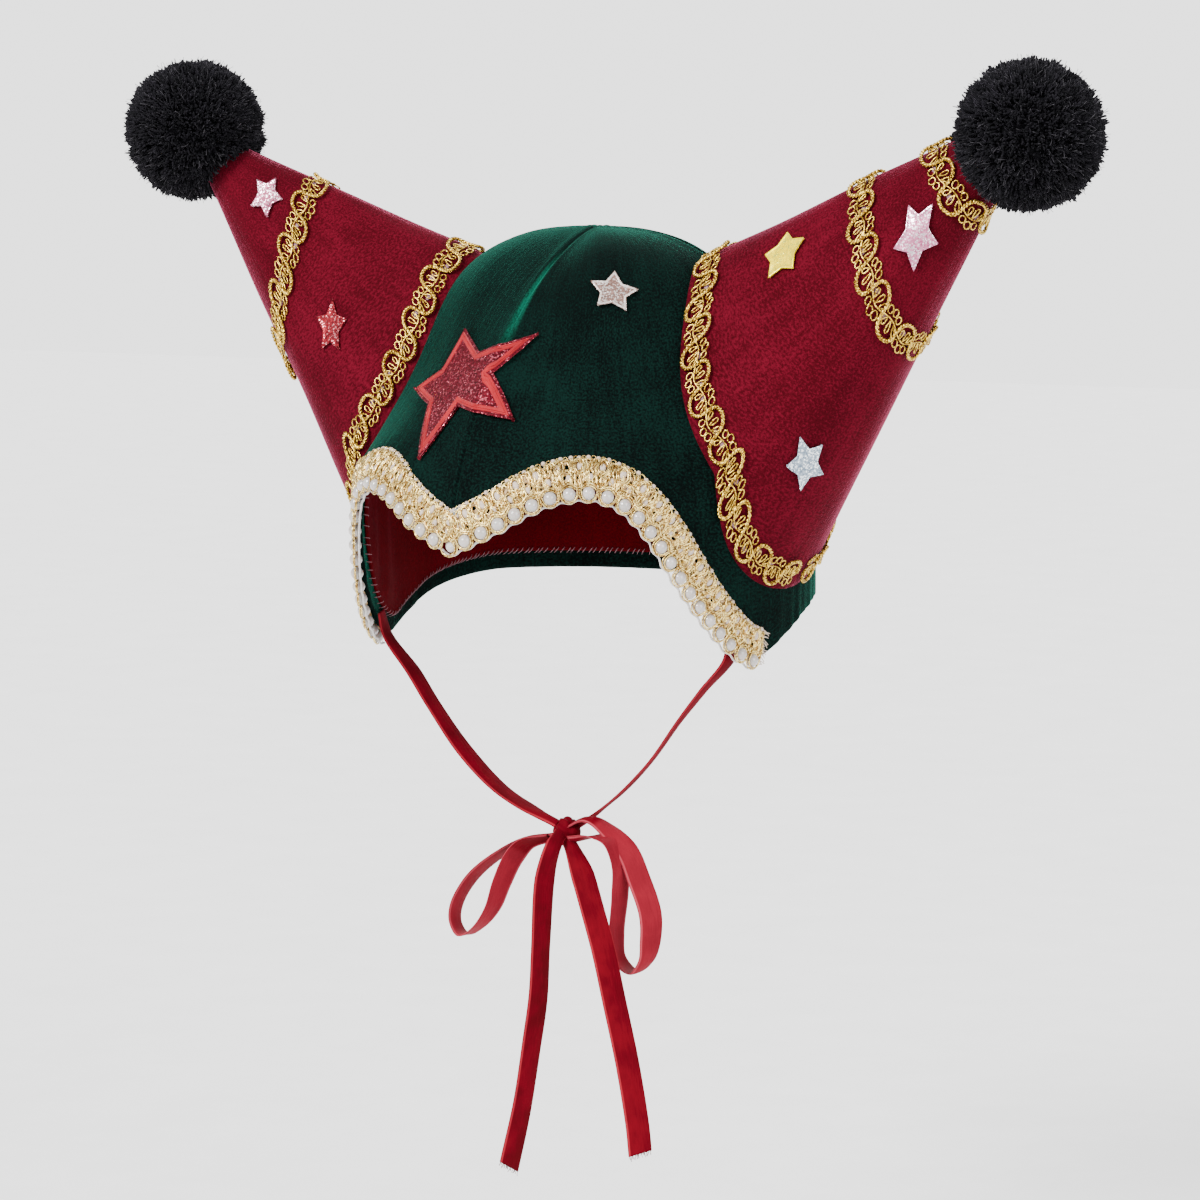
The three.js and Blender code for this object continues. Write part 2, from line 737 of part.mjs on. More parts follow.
function coneStar(side, row) {
  const around = radians(row.around);
  const line = conePoint(side, 1, around).distanceTo(conePoint(side, 0, around));
  const place = (u, v, proud) => {
    const share = row.share - v / line;
    const speed = conePoint(side, share, around + 1e-3).distanceTo(conePoint(side, share, around));
    return coneAt(side, share, around + (-side.out * u * 1e-3) / speed, proud);
  };
  return starPatch(place, regularStar(row.reach, row.spin), [{ border: 0, height: starThickness }], 1);
}

function crownStar(turn, height, corners, steps, rings) {
  const centre = crownPoint(turn, levelAtHeight(turn, height));
  const out = new THREE.Vector3(Math.sin(turn), -Math.cos(turn), 0);
  const across = up.clone().cross(out).normalize();
  const behind = new THREE.Vector3(0, crownCentreY, widestLevel);
  const normal = outwardOf(crownPoint, turn, levelAtHeight(turn, height), behind);
  const rise = normal.clone().cross(across).normalize();
  const place = (u, v, proud) => {
    const flat = centre.clone().addScaledVector(across, u).addScaledVector(rise, v);
    return ontoCrown(flat, proud);
  };
  return starPatch(place, corners, steps, rings);
}

function bigStarGeometry() {
  const tips = bigStarTable.map(({ bearing, reach }) => [
    bigStarReach * reach * Math.sin(radians(bearing)),
    bigStarReach * reach * Math.cos(radians(bearing)),
  ]);
  const corners = tips.flatMap((tip, i) => {
    const next = tips[(i + 1) % tips.length];
    return [tip, [(tip[0] + next[0]) / 2, (tip[1] + next[1]) / 2]];
  });
  const patch = crownStar(radians(bigStarTurn), -bigStarDrop, corners, [
    { border: 0, height: bigStarThickness },
    { border: bigStarBorder, height: bigStarThickness },
    { border: bigStarBorder + bigStarWell, height: bigStarThickness - bigStarWell },
  ], bigStarRings);
  return cut(patch, crownBlock(seatGap));
}

// A ribbon along its route, turned about its run by the twist in the route's rows, gathered at the knot it meets
function ribbonGeometry(rows) {
  const route = new THREE.CatmullRomCurve3(rows.map(({ x, y, z }) => new THREE.Vector3(x, y, z)));
  const columns = 2 * (rows.length - 1);
  const edges = { outer: [[], []], inner: [[], []] };
  for (let c = 0; c <= columns; c += 1) {
    const share = c / columns;
    const centre = route.getPoint(share);
    const run = route.getTangent(share);
    const at = Math.min(share * (rows.length - 1), rows.length - 1 - 1e-9);
    const i = Math.floor(at);
    const twist = radians(rows[i].twist + (rows[i + 1].twist - rows[i].twist) * (at - i));
    const edgeOn = new THREE.Vector3(0, 1, 0).addScaledVector(run, -run.y).normalize();
    const facing = run.clone().cross(edgeOn).multiplyScalar(run.z > 0 ? 1 : -1);
    const across = edgeOn.multiplyScalar(Math.cos(twist)).addScaledVector(facing, Math.sin(twist));
    const face = run.clone().cross(across).normalize();
    const spread = THREE.MathUtils.smoothstep(centre.distanceTo(knotPlace), knotWidth / 2, 2 * knotWidth);
    const width = ribbonWidth * THREE.MathUtils.lerp(ribbonGather, 1, spread);
    [-0.5, 0.5].forEach((w, row) => {
      const edge = centre.clone().addScaledVector(across, w * width);
      edges.outer[row].push(edge.clone().addScaledVector(face, ribbonThickness / 2));
      edges.inner[row].push(edge.clone().addScaledVector(face, -ribbonThickness / 2));
    });
  }
  return cut(wallBetween(edges.outer, edges.inner, false), knotGeometry(seatGap));
}

// A chin strap starts inside its ear flap, below the lining's edge
function strapRoute(side) {
  const turn = side.out * radians(strapTurn);
  const level = levelAtHeight(turn, rimHeight(turn) + strapRise);
  const start = crownAt(turn, level, -velvetWall - trimGap - ribbonThickness / 2);
  const along = crownPoint(turn + side.out * 0.01, level).sub(crownPoint(turn, level));
  const twist = THREE.MathUtils.radToDeg(Math.atan2(-along.x, along.y));
  const rows = strapRoutes[side.name].map((row) => {
    const x = THREE.MathUtils.lerp(knotPlace.x, start.x, row.share);
    return { x, y: row.y, z: row.z, twist: row.twist };
  });
  return [{ x: start.x, y: start.y, z: start.z, twist }, ...rows];
}

// The knot: lobes of ribbon to both sides of a wrap
function knotGeometry(grown) {
  const profile = [
    { at: -1, size: 0.5 },
    { at: -0.72, size: 0.82 },
    { at: -0.42, size: 0.78 },
    { at: -0.36, size: 1 },
    { at: 0.36, size: 1 },
    { at: 0.42, size: 0.78 },
    { at: 0.72, size: 0.82 },
    { at: 1, size: 0.5 },
  ];
  const half = new THREE.Vector3(knotWidth, knotDepth, knotHeight).divideScalar(2).addScalar(grown);
  const ringAt = (at, size) => Array.from({ length: knotSides }, (_, k) => {
    const angle = (2 * Math.PI * k) / knotSides;
    return new THREE.Vector3(at, size * Math.sin(angle), size * Math.cos(angle)).multiply(half).add(knotPlace);
  });
  const faces = [];
  stitch(faces, [ringAt(-1, 0), ...profile.map(({ at, size }) => ringAt(at, size)), ringAt(1, 0)], true, false);
  return closedMesh(faces);
}

function piece(name, geometry, finish) {
  geometry.computeVertexNormals();
  const mesh = new THREE.Mesh(geometry, new THREE.MeshStandardMaterial(finish));
  mesh.name = name;
  return mesh;
}

const hat = new THREE.Group();
hat.add(piece('crown', crownGeometry(), finishes.green));
hat.add(piece('lining', liningGeometry(), finishes.lining));
hat.add(piece('brow_band', bandGeometry(), finishes.crochet));
hat.add(piece('pearl_string', pearlStringGeometry(), finishes.pearl));
hat.add(piece('star_brow', bigStarGeometry(), finishes.coral));
const roseStar = crownStar(radians(43), -22, regularStar(10.4, 12), [{ border: 0, height: starThickness }], 1);
hat.add(piece('star_rose_gold', roseStar, { color: 0xc9a394, roughness: 0.4, metalness: 0.5 }));
sides.forEach((side) => {
  const group = new THREE.Group();
  group.add(piece(`cone_${side.name}`, coneGeometry(side), finishes.burgundy));
  group.add(piece(`pompom_${side.name}`, pompomGeometry(side), finishes.black));
  group.add(piece(`braid_base_${side.name}`, baseBraid(side), finishes.gold));
  side.braids.forEach((row) => {
    group.add(piece(`braid_${row.name}_${side.name}`, ringBraid(side, row), finishes.gold));
  });
  side.stars.forEach((row) => {
    const glitter = { color: row.colour, roughness: 0.4, metalness: 0.4 };
    group.add(piece(`star_${row.name}`, coneStar(side, row), glitter));
  });
  hat.add(group);
});
const ties = new THREE.Group();
sides.forEach((side) => {
  ties.add(piece(`strap_${side.name}`, ribbonGeometry(strapRoute(side)), finishes.ribbon));
  [`bow_loop_${side.name}`, `ribbon_tail_${side.name}`].forEach((name) => {
    ties.add(piece(name, ribbonGeometry(ribbonRoutes[name]), finishes.ribbon));
  });
});
ties.add(piece('knot', knotGeometry(0), finishes.ribbon));
hat.add(ties);

export default hat;
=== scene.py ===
import math

import bmesh
import bpy
import numpy as np
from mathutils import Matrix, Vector


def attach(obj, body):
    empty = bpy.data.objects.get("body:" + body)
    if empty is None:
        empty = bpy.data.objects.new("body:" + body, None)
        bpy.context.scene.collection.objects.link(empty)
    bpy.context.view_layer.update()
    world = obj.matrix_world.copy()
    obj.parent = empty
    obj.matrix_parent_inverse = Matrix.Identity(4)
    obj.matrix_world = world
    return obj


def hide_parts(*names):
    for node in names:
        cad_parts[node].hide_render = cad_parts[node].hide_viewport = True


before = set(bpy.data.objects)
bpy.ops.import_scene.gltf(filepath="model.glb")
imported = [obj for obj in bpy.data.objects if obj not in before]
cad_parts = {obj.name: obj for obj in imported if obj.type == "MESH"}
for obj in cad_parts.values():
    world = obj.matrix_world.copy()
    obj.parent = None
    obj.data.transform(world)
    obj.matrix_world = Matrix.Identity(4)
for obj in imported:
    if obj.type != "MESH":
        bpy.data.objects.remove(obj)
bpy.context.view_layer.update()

bl_info = {
    "name": "Jester hat",
    "version": (1, 0, 0),
    "blender": (4, 5, 0),
    "location": "View3D > Sidebar > Hat",
    "description": "Builds a two-horned velvet jester hat with its trims, pompoms and ribbon ties",
    "category": "Add Mesh",
}

# Lengths are in millimetres until a piece's mesh is made
MM = 0.001
UP = np.array([0.0, 0.0, 1.0])

# Cloth walls and clearances
VELVET_WALL = 2.4
LINING_WALL = 1.2
LINING_GAP = 0.5
TRIM_GAP = 0.5
CROWN_TOP = VELVET_WALL + LINING_GAP + LINING_WALL

# Crown
CROWN_HALF_WIDTH = 95
BROW_REACH = 120
NAPE_REACH = 86
CROWN_CENTRE_Y = 5
CROWN_RISE = 124
BROW_ROUNDNESS = 1.55
NAPE_ROUNDNESS = 2.1
SIDE_ROUNDNESS = 2.6
BROW_PINCH = 0.2
NAPE_PINCH = 0.18
PINCH_END = 0.87
PINCH_BIAS = 1.6
SKIRT_TAPER = 0.04
WIDEST_LEVEL = CROWN_TOP - CROWN_RISE
BEHIND_CROWN = np.array([0.0, CROWN_CENTRE_Y, WIDEST_LEVEL])

# Rim: turn in degrees from the centre of the brow, and the drop below the arches as a share of FLAP_DEPTH
BROW_DEPTH = 97
FLAP_DEPTH = 74
HEM_DEPTH = 9
HEM_SEWN = 2.0
RIM_TABLE = [
    (0, 0.305), (6, 0.24), (12, 0.17), (18, 0.09), (25, 0.025), (34, 0.0), (41, 0.045), (46, 0.135),
    (51, 0.285), (56, 0.48), (62, 0.69), (69, 0.88), (74, 0.965), (79, 1.0), (85, 0.93), (92, 0.85),
    (100, 0.79), (110, 0.74), (122, 0.705), (136, 0.7), (150, 0.7), (165, 0.705), (180, 0.71),
]

# Folds of the lining: turn and width in degrees, and depth
LINING_FOLDS = [
    (-62, 5, 2.6), (-74, 4, 2.0), (-52, 4, 1.2), (48, 5, 1.6), (66, 5, 2.2), (104, 9, 1.5), (-108, 8, 1.6),
    (150, 9, 1.4), (-150, 10, 1.4),
]

# Hem stitches: their number and lean in degrees, and each one's line as share of the lean, rise above the rim
# and place out from the crown's outside
HEM_STITCHES = 230
STITCH_LEAN = 0.9
STITCH_LINE = [(-0.7, 8.0, -4.4), (-0.4, 7.4, -4.75), (0.0, 6.6, -4.5), (0.4, 5.8, -3.4), (0.7, 5.3, -2.3)]

# Cones
RING_OUT = 76.6
RING_DROP = 73.7
RING_TILT = 18.6
RING_HALF_LENGTH = 69
RING_HALF_DEPTH = 45
RING_EGG = 0.32
CONE_REACH = 211.6
CONE_TIP_SHARE = 0.1
CONE_ROOT_SHARE = 1.12

# Pompoms
POMPOM_RADIUS = 31
STRAY_FIBRES = 700
POMPOM_INSET = 7.6
POMPOM_RISE = 44
POMPOM_TUFTS = 640
POMPOM_HEART = 5.5

# Scroll braid: one scroll is half a repeat
BRAID_HALF_WIDTH = 7
BRAID_SEAM_MARGIN = 2.5
BRAID_END_GAP = 2.5
SCROLL_RUN = 10.5
CORD_LAY = 2.9
CORD_REACH = 6.15
CORD_RISE = 1.35
STRAND_RADIUS = 0.5
WIRE_RADIUS = 0.34

# Leaves inside a scroll: place along it, lean in degrees and reach. Picots outside it: place and reach.
LEAVES = [(0.3, -12, 3.9), (0.5, 10, 5.0), (0.72, 32, 4.4)]
PICOTS = [(0.22, 3.5), (0.5, 4.5), (0.78, 3.7)]

# Brow trim
TRIM_END_TURN = 77
BAND_WIDTH = 9.5
PEARL_RADIUS = 2.75
PEARL_PITCH = 8
PEARL_DROP = 3.8
PEARL_PROUD = 1
TRIM_STEPS = 2400

# Cords that the trim's loops are worked over: height on the band and phase of the wave
TRIM_CORDS = [(-0.3, 3.0), (1.6, 0.0), (3.6, 2.1), (5.6, 4.0), (7.5, 1.2)]
CORD_WAVE = 6.6

# Puffs between the loops: place after a pearl, height on the band, and size along, across and out
TRIM_PUFFS = [(0.0, 5.9, [1.5, 2.3, 1.3]), (PEARL_PITCH / 2, 2.2, [1.2, 1.7, 1.1])]
EDGE_PUFF_PITCH = 3.3

# Gold loops over the cords: repeat, phase, middle height, reach up and down, and sweep along the band
TRIM_LOOPS = [
    (4.7, 0.0, 4.3, 4.6, 1.6), (4.7, 2.1, 5.0, 4.0, -1.6), (5.6, 4.2, 3.9, 4.9, 1.9),
    (3.9, 1.0, 6.0, 2.9, -1.3), (3.4, 5.0, 2.0, 2.8, 1.1),
]

# Stars
STAR_INNER_SHARE = 0.54
YELLOW_INNER_SHARE = 0.61
STAR_THICKNESS = 1.1
STAR_LONGEST_EDGE = 3.0
ROSE_GOLD_TURN = 43
ROSE_GOLD_DROP = 22
ROSE_GOLD_REACH = 10.4
ROSE_GOLD_SPIN = 12
BIG_STAR_REACH = 45
BIG_STAR_TURN = -17
BIG_STAR_DROP = 61
BIG_STAR_THICKNESS = 1.3

# The brow star's tips and notches: bearing in degrees from straight up, and share of BIG_STAR_REACH
BIG_STAR_TABLE = [
    (-26, 0.71), (21, 0.42), (47, 0.91), (69, 0.5), (110, 1.0),
    (128, 0.33), (173, 0.82), (229, 0.34), (264, 0.8), (295, 0.41),
]

# Rings from a star's outline: width, rise, and 0 for glitter or 1 for the band that borders it
SMALL_STAR_RINGS = [(0.2, 0.12, 0), (0.5, 0.0, 1), (0.2, -0.08, 1)]
BIG_STAR_RINGS = [
    (0.2, 0.1, 0), (1.1, 0.0, 0), (0.2, 0.35, 1), (0.35, 0.1, 1), (0.25, -0.3, 1), (0.25, 0.3, 1),
    (0.9, 0.15, 1), (0.35, -0.25, 1), (0.2, -0.35, 1),
]

# Each side: its braids as name, share from apex to ring and slant,
# and its stars as name, share, turn, reach and spin
SIDES = {
    "left": {
        "out": 1,
        "apex_rise": 60,
        "braids": [("middle", 0.51, 0.0), ("tip", 0.28, 0.03)],
        "stars": [
            ("yellow", 0.727, 48, 10.6, 8),
            ("pink_glitter", 0.379, 104, 12.6, 20),
            ("silver", 0.807, 143, 11, -8),
        ],
    },
    "right": {
        "out": -1,
        "apex_rise": 49,
        "braids": [("middle", 0.53, -0.055)],
        "stars": [("pink", 0.374, 60, 9.6, -14), ("red", 0.746, 87, 10.6, 16)],
    },
}

# Ribbons: points as x, y, z and twist in degrees. The straps have the share of the way from knot to flap
# in place of x.
KNOT_PLACE = np.array([12.0, -42.0, -249.0])
KNOT_HALF = np.array([6.0, 5.0, 6.0])
RIBBON_WIDTH = 10
RIBBON_THICKNESS = 0.9
RIBBON_GATHER = 0.6
RIBBON_WAVE = 0.5
STRAP_TURN = 71
STRAP_RISE = 3.5
TAIL_SLANTS = {"left": -1.0, "right": 2.2}
STRAPS = {
    "left": [
        (0.972, -31, -172, -8), (0.796, -31, -187, 5), (0.661, -33, -200, 8), (0.478, -34, -218.2, 10),
        (0.274, -35, -233.5, 10), (0.104, -37, -242.7, 8), (0.027, -39.5, -246, 6),
    ],
    "right": [
        (0.979, -31, -172, 8), (0.846, -31, -187, -5), (0.734, -33, -200, -8), (0.55, -36, -219, -10),
        (0.347, -39, -234, -10), (0.143, -41, -243, -8), (0.041, -42, -247, -6),
    ],
}
RIBBONS = {
    "bow_loop_right": [
        (8, -43, -250.5, -25), (-3.2, -45, -252.6, -20), (-17, -47, -259.6, -12), (-30, -49.5, -270.6, -10),
        (-36.8, -51.5, -282.6, -6), (-36.6, -53, -289.9, 0), (-31.8, -54, -295.1, 0),
        (-24.7, -54, -291.4, -5), (-17.8, -53.5, -282.7, -18), (-13.7, -52.5, -271.5, -30),
        (-9.1, -51, -261.1, -35), (-3.4, -50, -254.7, -35), (6, -47, -252, -30),
    ],
    "bow_loop_left": [
        (15, -43, -247.5, -20), (24.7, -43.5, -243.2, -12), (32.5, -43.5, -246.7, -20),
        (41.4, -42.5, -254.8, -40), (46.4, -41, -266.8, -45), (51, -39.5, -281.5, -45),
        (50.4, -38.5, -293.8, -35), (48.4, -38.5, -301.5, -15), (43, -39, -306.8, 0), (36.7, -40, -301.8, -5),
        (35.7, -41, -291.5, -13), (38.4, -43, -274, -15), (40.1, -46, -260, -15), (36.6, -48, -250.7, -10),
        (31.2, -48, -248.6, -10), (16, -45, -250.5, -10),
    ],
    "ribbon_tail_right": [
        (11, -45, -249, -60), (12, -54, -254.5, -40), (8.4, -54, -266.6, -28), (6.2, -54, -296.6, -25),
        (4.9, -54, -318.6, -25), (1.6, -54, -339.6, -25), (-2.7, -54.5, -365.7, -28), (-9, -55, -392.7, -30),
    ],
    "ribbon_tail_left": [
        (13, -43, -252, -60), (17.9, -47, -256.1, -60), (24.2, -50, -265.3, -60), (30, -52, -278.7, -60),
        (36.1, -53, -296.1, -60), (41.3, -53, -316.9, -60), (47.6, -53, -342.5, -60),
        (52.5, -53, -368.3, -60), (53.9, -53, -380.5, -60),
    ],
}

# Camera and studio, in metres and degrees
CAMERA_PLACE = (1.0564, -1.8230, 0.0661)
CAMERA_TURN = (84, 0, 30)
CAMERA_LENS = 148.47
FLOOR_DROP = 0.46
FLOOR_SIZE = 12
WORLD_LIGHT = 0.75
BACKDROP_LIGHT = 2.5

# Each lamp's name, the way to it, its strength and its width in degrees
LAMPS = [
    ("key", (-0.7, -1.9, 1.4), 6.5, 26),
    ("fill", (2.0, -0.7, 0.8), 2.6, 40),
    ("rim", (-0.2, 1.6, 1.4), 3.2, 40),
]


# ---- Surfaces ----

def unit(vectors):
    return vectors / np.maximum(np.linalg.norm(vectors, axis=-1, keepdims=True), 1e-12)


def smooth(low, high, value):
    share = np.clip((value - low) / (high - low), 0, 1)
    return share * share * (3 - 2 * share)


def from_table(rows, at):
    """Reads a smooth curve through a table's rows."""
    x, y = np.array(rows, float).T
    count = np.arange(len(x))
    before, after = np.maximum(count - 1, 0), np.minimum(count + 1, len(x) - 1)
    slope = (y[after] - y[before]) / (x[after] - x[before])
    i = np.clip(np.searchsorted(x, at) - 1, 0, len(x) - 2)
    run = x[i + 1] - x[i]
    t = (at - x[i]) / run
    level = (1 + 2 * t) * (1 - t) ** 2 * y[i] + t * t * (3 - 2 * t) * y[i + 1]
    return level + run * (t * (1 - t) ** 2 * slope[i] - t * t * (1 - t) * slope[i + 1])


def outward(surface, a, b, behind):
    """Outward direction of a surface, given a point that lies behind it."""
    step = 1e-3
    over_a = surface(a + step, b) - surface(a - step, b)
    over_b = surface(a, b + step) - surface(a, b - step)
    normal = unit(np.cross(over_a, over_b))
    facing = ((surface(a, b) - behind) * normal).sum(-1, keepdims=True)
    return np.where(facing < 0, -normal, normal)


def crown_roundness(turn):
    facing = np.cos(turn)
    end = np.where(facing > 0, BROW_ROUNDNESS, NAPE_ROUNDNESS)
    return SIDE_ROUNDNESS + (end - SIDE_ROUNDNESS) * facing ** 2


def crown_point(turn, level):
    """A point of the crown's outside: level 0 is the top, 1 the widest height, and beyond it the skirt."""
    turn, level = np.broadcast_arrays(np.asarray(turn, float), np.asarray(level, float))
    p = crown_roundness(turn)
    slope = np.radians(90 * (1 - np.clip(level, 0, 1)))
    size = (np.abs(np.cos(slope)) ** p + np.sin(slope) ** p) ** (-1 / p)
    share = np.minimum(1, (np.clip(level, 0, None) / PINCH_END) ** PINCH_BIAS)
    pinch = np.where(np.cos(turn) > 0, BROW_PINCH, NAPE_PINCH)
    fall = pinch * np.abs(np.sin(2 * turn)) * np.sin(np.pi * share)
    dome = level < 1
    rise = np.where(dome, size * np.sin(slope), 1 - level)
    reach = np.where(dome, size * np.cos(slope) * (1 - fall), 1 - SKIRT_TAPER * (1 - level) ** 2)
    depth = np.where(np.cos(turn) > 0, BROW_REACH, NAPE_REACH)
    x = CROWN_HALF_WIDTH * reach * np.sin(turn)
    y = CROWN_CENTRE_Y - depth * reach * np.cos(turn)
    return np.stack([x, y, WIDEST_LEVEL + CROWN_RISE * rise], -1)


def crown_normal(turn, level):
    turn, level = np.broadcast_arrays(np.asarray(turn, float), np.asarray(level, float))
    normal = outward(crown_point, turn, np.maximum(level, 2e-3), BEHIND_CROWN)
    return np.where(level[..., None] < 1e-6, UP, normal)


def level_at_height(turn, height):
    rise = (height - WIDEST_LEVEL) / CROWN_RISE
    p = crown_roundness(turn)
    above = np.clip(rise, 0, 1)
    dome = 1 - np.arctan2(above, (1 - above ** p) ** (1 / p)) / (np.pi / 2)
    return np.where(rise <= 0, 1 - rise, dome)


def onto_crown(points, proud):
    """The crown's outside beside points, level with them, and its outward direction there."""
    depth = np.where(points[..., 1] < CROWN_CENTRE_Y, BROW_REACH, NAPE_REACH)
    turn = np.arctan2(points[..., 0] / CROWN_HALF_WIDTH, (CROWN_CENTRE_Y - points[..., 1]) / depth)
    level = level_at_height(turn, points[..., 2])
    normal = crown_normal(turn, level)
    return crown_point(turn, level) + normal * np.asarray(proud, float)[..., None], normal


def rim_height(turn):
    return -BROW_DEPTH - FLAP_DEPTH * from_table(RIM_TABLE, np.abs(np.degrees(turn)))


def rim_point(turn):
    return crown_point(turn, level_at_height(turn, rim_height(turn)))


def trim_place(turn, w, proud):
    """A place on the brow trim: w up from the cloth's edge along the crown, and proud of its outside."""
    step = 5e-3
    rim = rim_point(turn)
    run = unit(rim_point(turn + step) - rim_point(turn - step))
    axis = np.stack([np.zeros_like(turn), np.full_like(turn, CROWN_CENTRE_Y), rim[..., 2]], -1)
    rise = unit(np.cross(run, unit(rim - axis)))
    rise = np.where(rise[..., 2:] < 0, -rise, rise)
    return onto_crown(rim + rise * np.asarray(w, float)[..., None], proud)


def cone_axis(side):
    """A cone's apex and the middle of its foot ring."""
    apex = np.array([side["out"] * CONE_REACH, 0, side["apex_rise"]], float)
    return apex, np.array([side["out"] * RING_OUT, 0, -RING_DROP], float)


def cone_ends(side, around):
    tilt = math.radians(RING_TILT)
    below = -RING_HALF_LENGTH * np.cos(around)
    ring = np.stack([
        side["out"] * (RING_OUT + below * math.sin(tilt)),
        -RING_HALF_DEPTH * np.sin(around) * (1 - RING_EGG * np.cos(around)),
        -RING_DROP - below * math.cos(tilt),
    ], -1)
    return cone_axis(side)[0], ring


def cone_point(side, share, around):
    share, around = np.broadcast_arrays(np.asarray(share, float), np.asarray(around, float))
    apex, ring = cone_ends(side, around)
    return apex + (ring - apex) * share[..., None]


def cone_at(side, share, around, proud):
    """A place proud of the cone's outside, and the outward direction there."""
    share, around, proud = np.broadcast_arrays(*(np.asarray(v, float) for v in (share, around, proud)))
    apex, root = cone_axis(side)
    axis = apex + (root - apex) * share[..., None]
    normal = outward(lambda s, a: cone_point(side, s, a), share, around, axis)
    return cone_point(side, share, around) + normal * proud[..., None], normal


def slant_length(side, around):
    apex, ring = cone_ends(side, around)
    return np.linalg.norm(ring - apex, axis=-1)


def seam_share(side, around):
    """The share at which a line down the cone meets the crown."""
    outside = np.full_like(around, CONE_TIP_SHARE)
    inside = np.full_like(around, CONE_ROOT_SHARE)
    for _ in range(24):
        middle = (outside + inside) / 2
        point = cone_point(side, middle, around)
        wall = onto_crown(point, np.zeros_like(around))[0]
        reach = np.hypot(point[..., 0], point[..., 1] - CROWN_CENTRE_Y)
        wall_reach = np.hypot(wall[..., 0], wall[..., 1] - CROWN_CENTRE_Y)
        hidden = (point[..., 2] < CROWN_TOP) & (reach < wall_reach)
        inside = np.where(hidden, middle, inside)
        outside = np.where(hidden, outside, middle)
    return outside


def inside_cone(side, points):
    """Whether points lie within the cone, or within a strand's width of it."""
    apex, root = cone_axis(side)
    axis = unit(root - apex)
    along = (points - apex) @ axis
    off = np.linalg.norm(points - apex - along[:, None] * axis, axis=-1)
    slant = np.linalg.norm(root - apex)
    return (along > 0) & (off < 0.7 + along / slant * (RING_HALF_DEPTH + RING_HALF_LENGTH) / 2 * 0.92) & (
        along > slant * CONE_TIP_SHARE)


class Track:
    """A way along a surface, where a place is s along it, w across it and h proud of the surface."""

    def __init__(self, surface, start, end, steps=1500):
        self.surface = surface
        self.marks = np.linspace(start, end, steps)
        line = surface(self.marks, np.zeros(steps), np.zeros(steps))[0]
        self.runs = np.concatenate([[0], np.cumsum(np.linalg.norm(np.diff(line, axis=0), axis=1))])
        self.length = self.runs[-1]

    def place(self, s, w, h):
        s, w, h = np.broadcast_arrays(*(np.asarray(v, float) for v in (s, w, h)))
        return self.surface(np.interp(s, self.runs, self.marks), w, h)


def cone_track(side, share_at, start, end):
    def surface(around, w, h):
        share = share_at(around)
        step = 1e-3
        line = cone_point(side, 1.0, around) - cone_point(side, 0.0, around)
        run = cone_point(side, share_at(around + step), around + step) - cone_point(
            side, share_at(around - step), around - step)
        across = np.linalg.norm(np.cross(unit(line), unit(run)), axis=-1)
        return cone_at(side, share + w / (np.linalg.norm(line, axis=-1) * across), around, h)
    return Track(surface, start, end)


def frames(track, s, w, h):
    """Places along a track, with axes along it, across it and out of the surface."""
    place, out = track.place(s, w, h)
    ahead = track.place(np.asarray(s) + 0.5, w, h)[0]
    run = unit(ahead - place)
    across = unit(np.cross(out, run))
    return place, np.stack([run, across, np.cross(run, across)], 1)


# ---- Meshes ----

def repeated(blocks, copies, points):
    """Blocks of faces of one shape, for that many copies of its points."""
    shifts = np.arange(copies)[:, None, None] * points
    return [(np.array(block)[None] + shifts).reshape(-1, len(block[0])) for block in blocks]


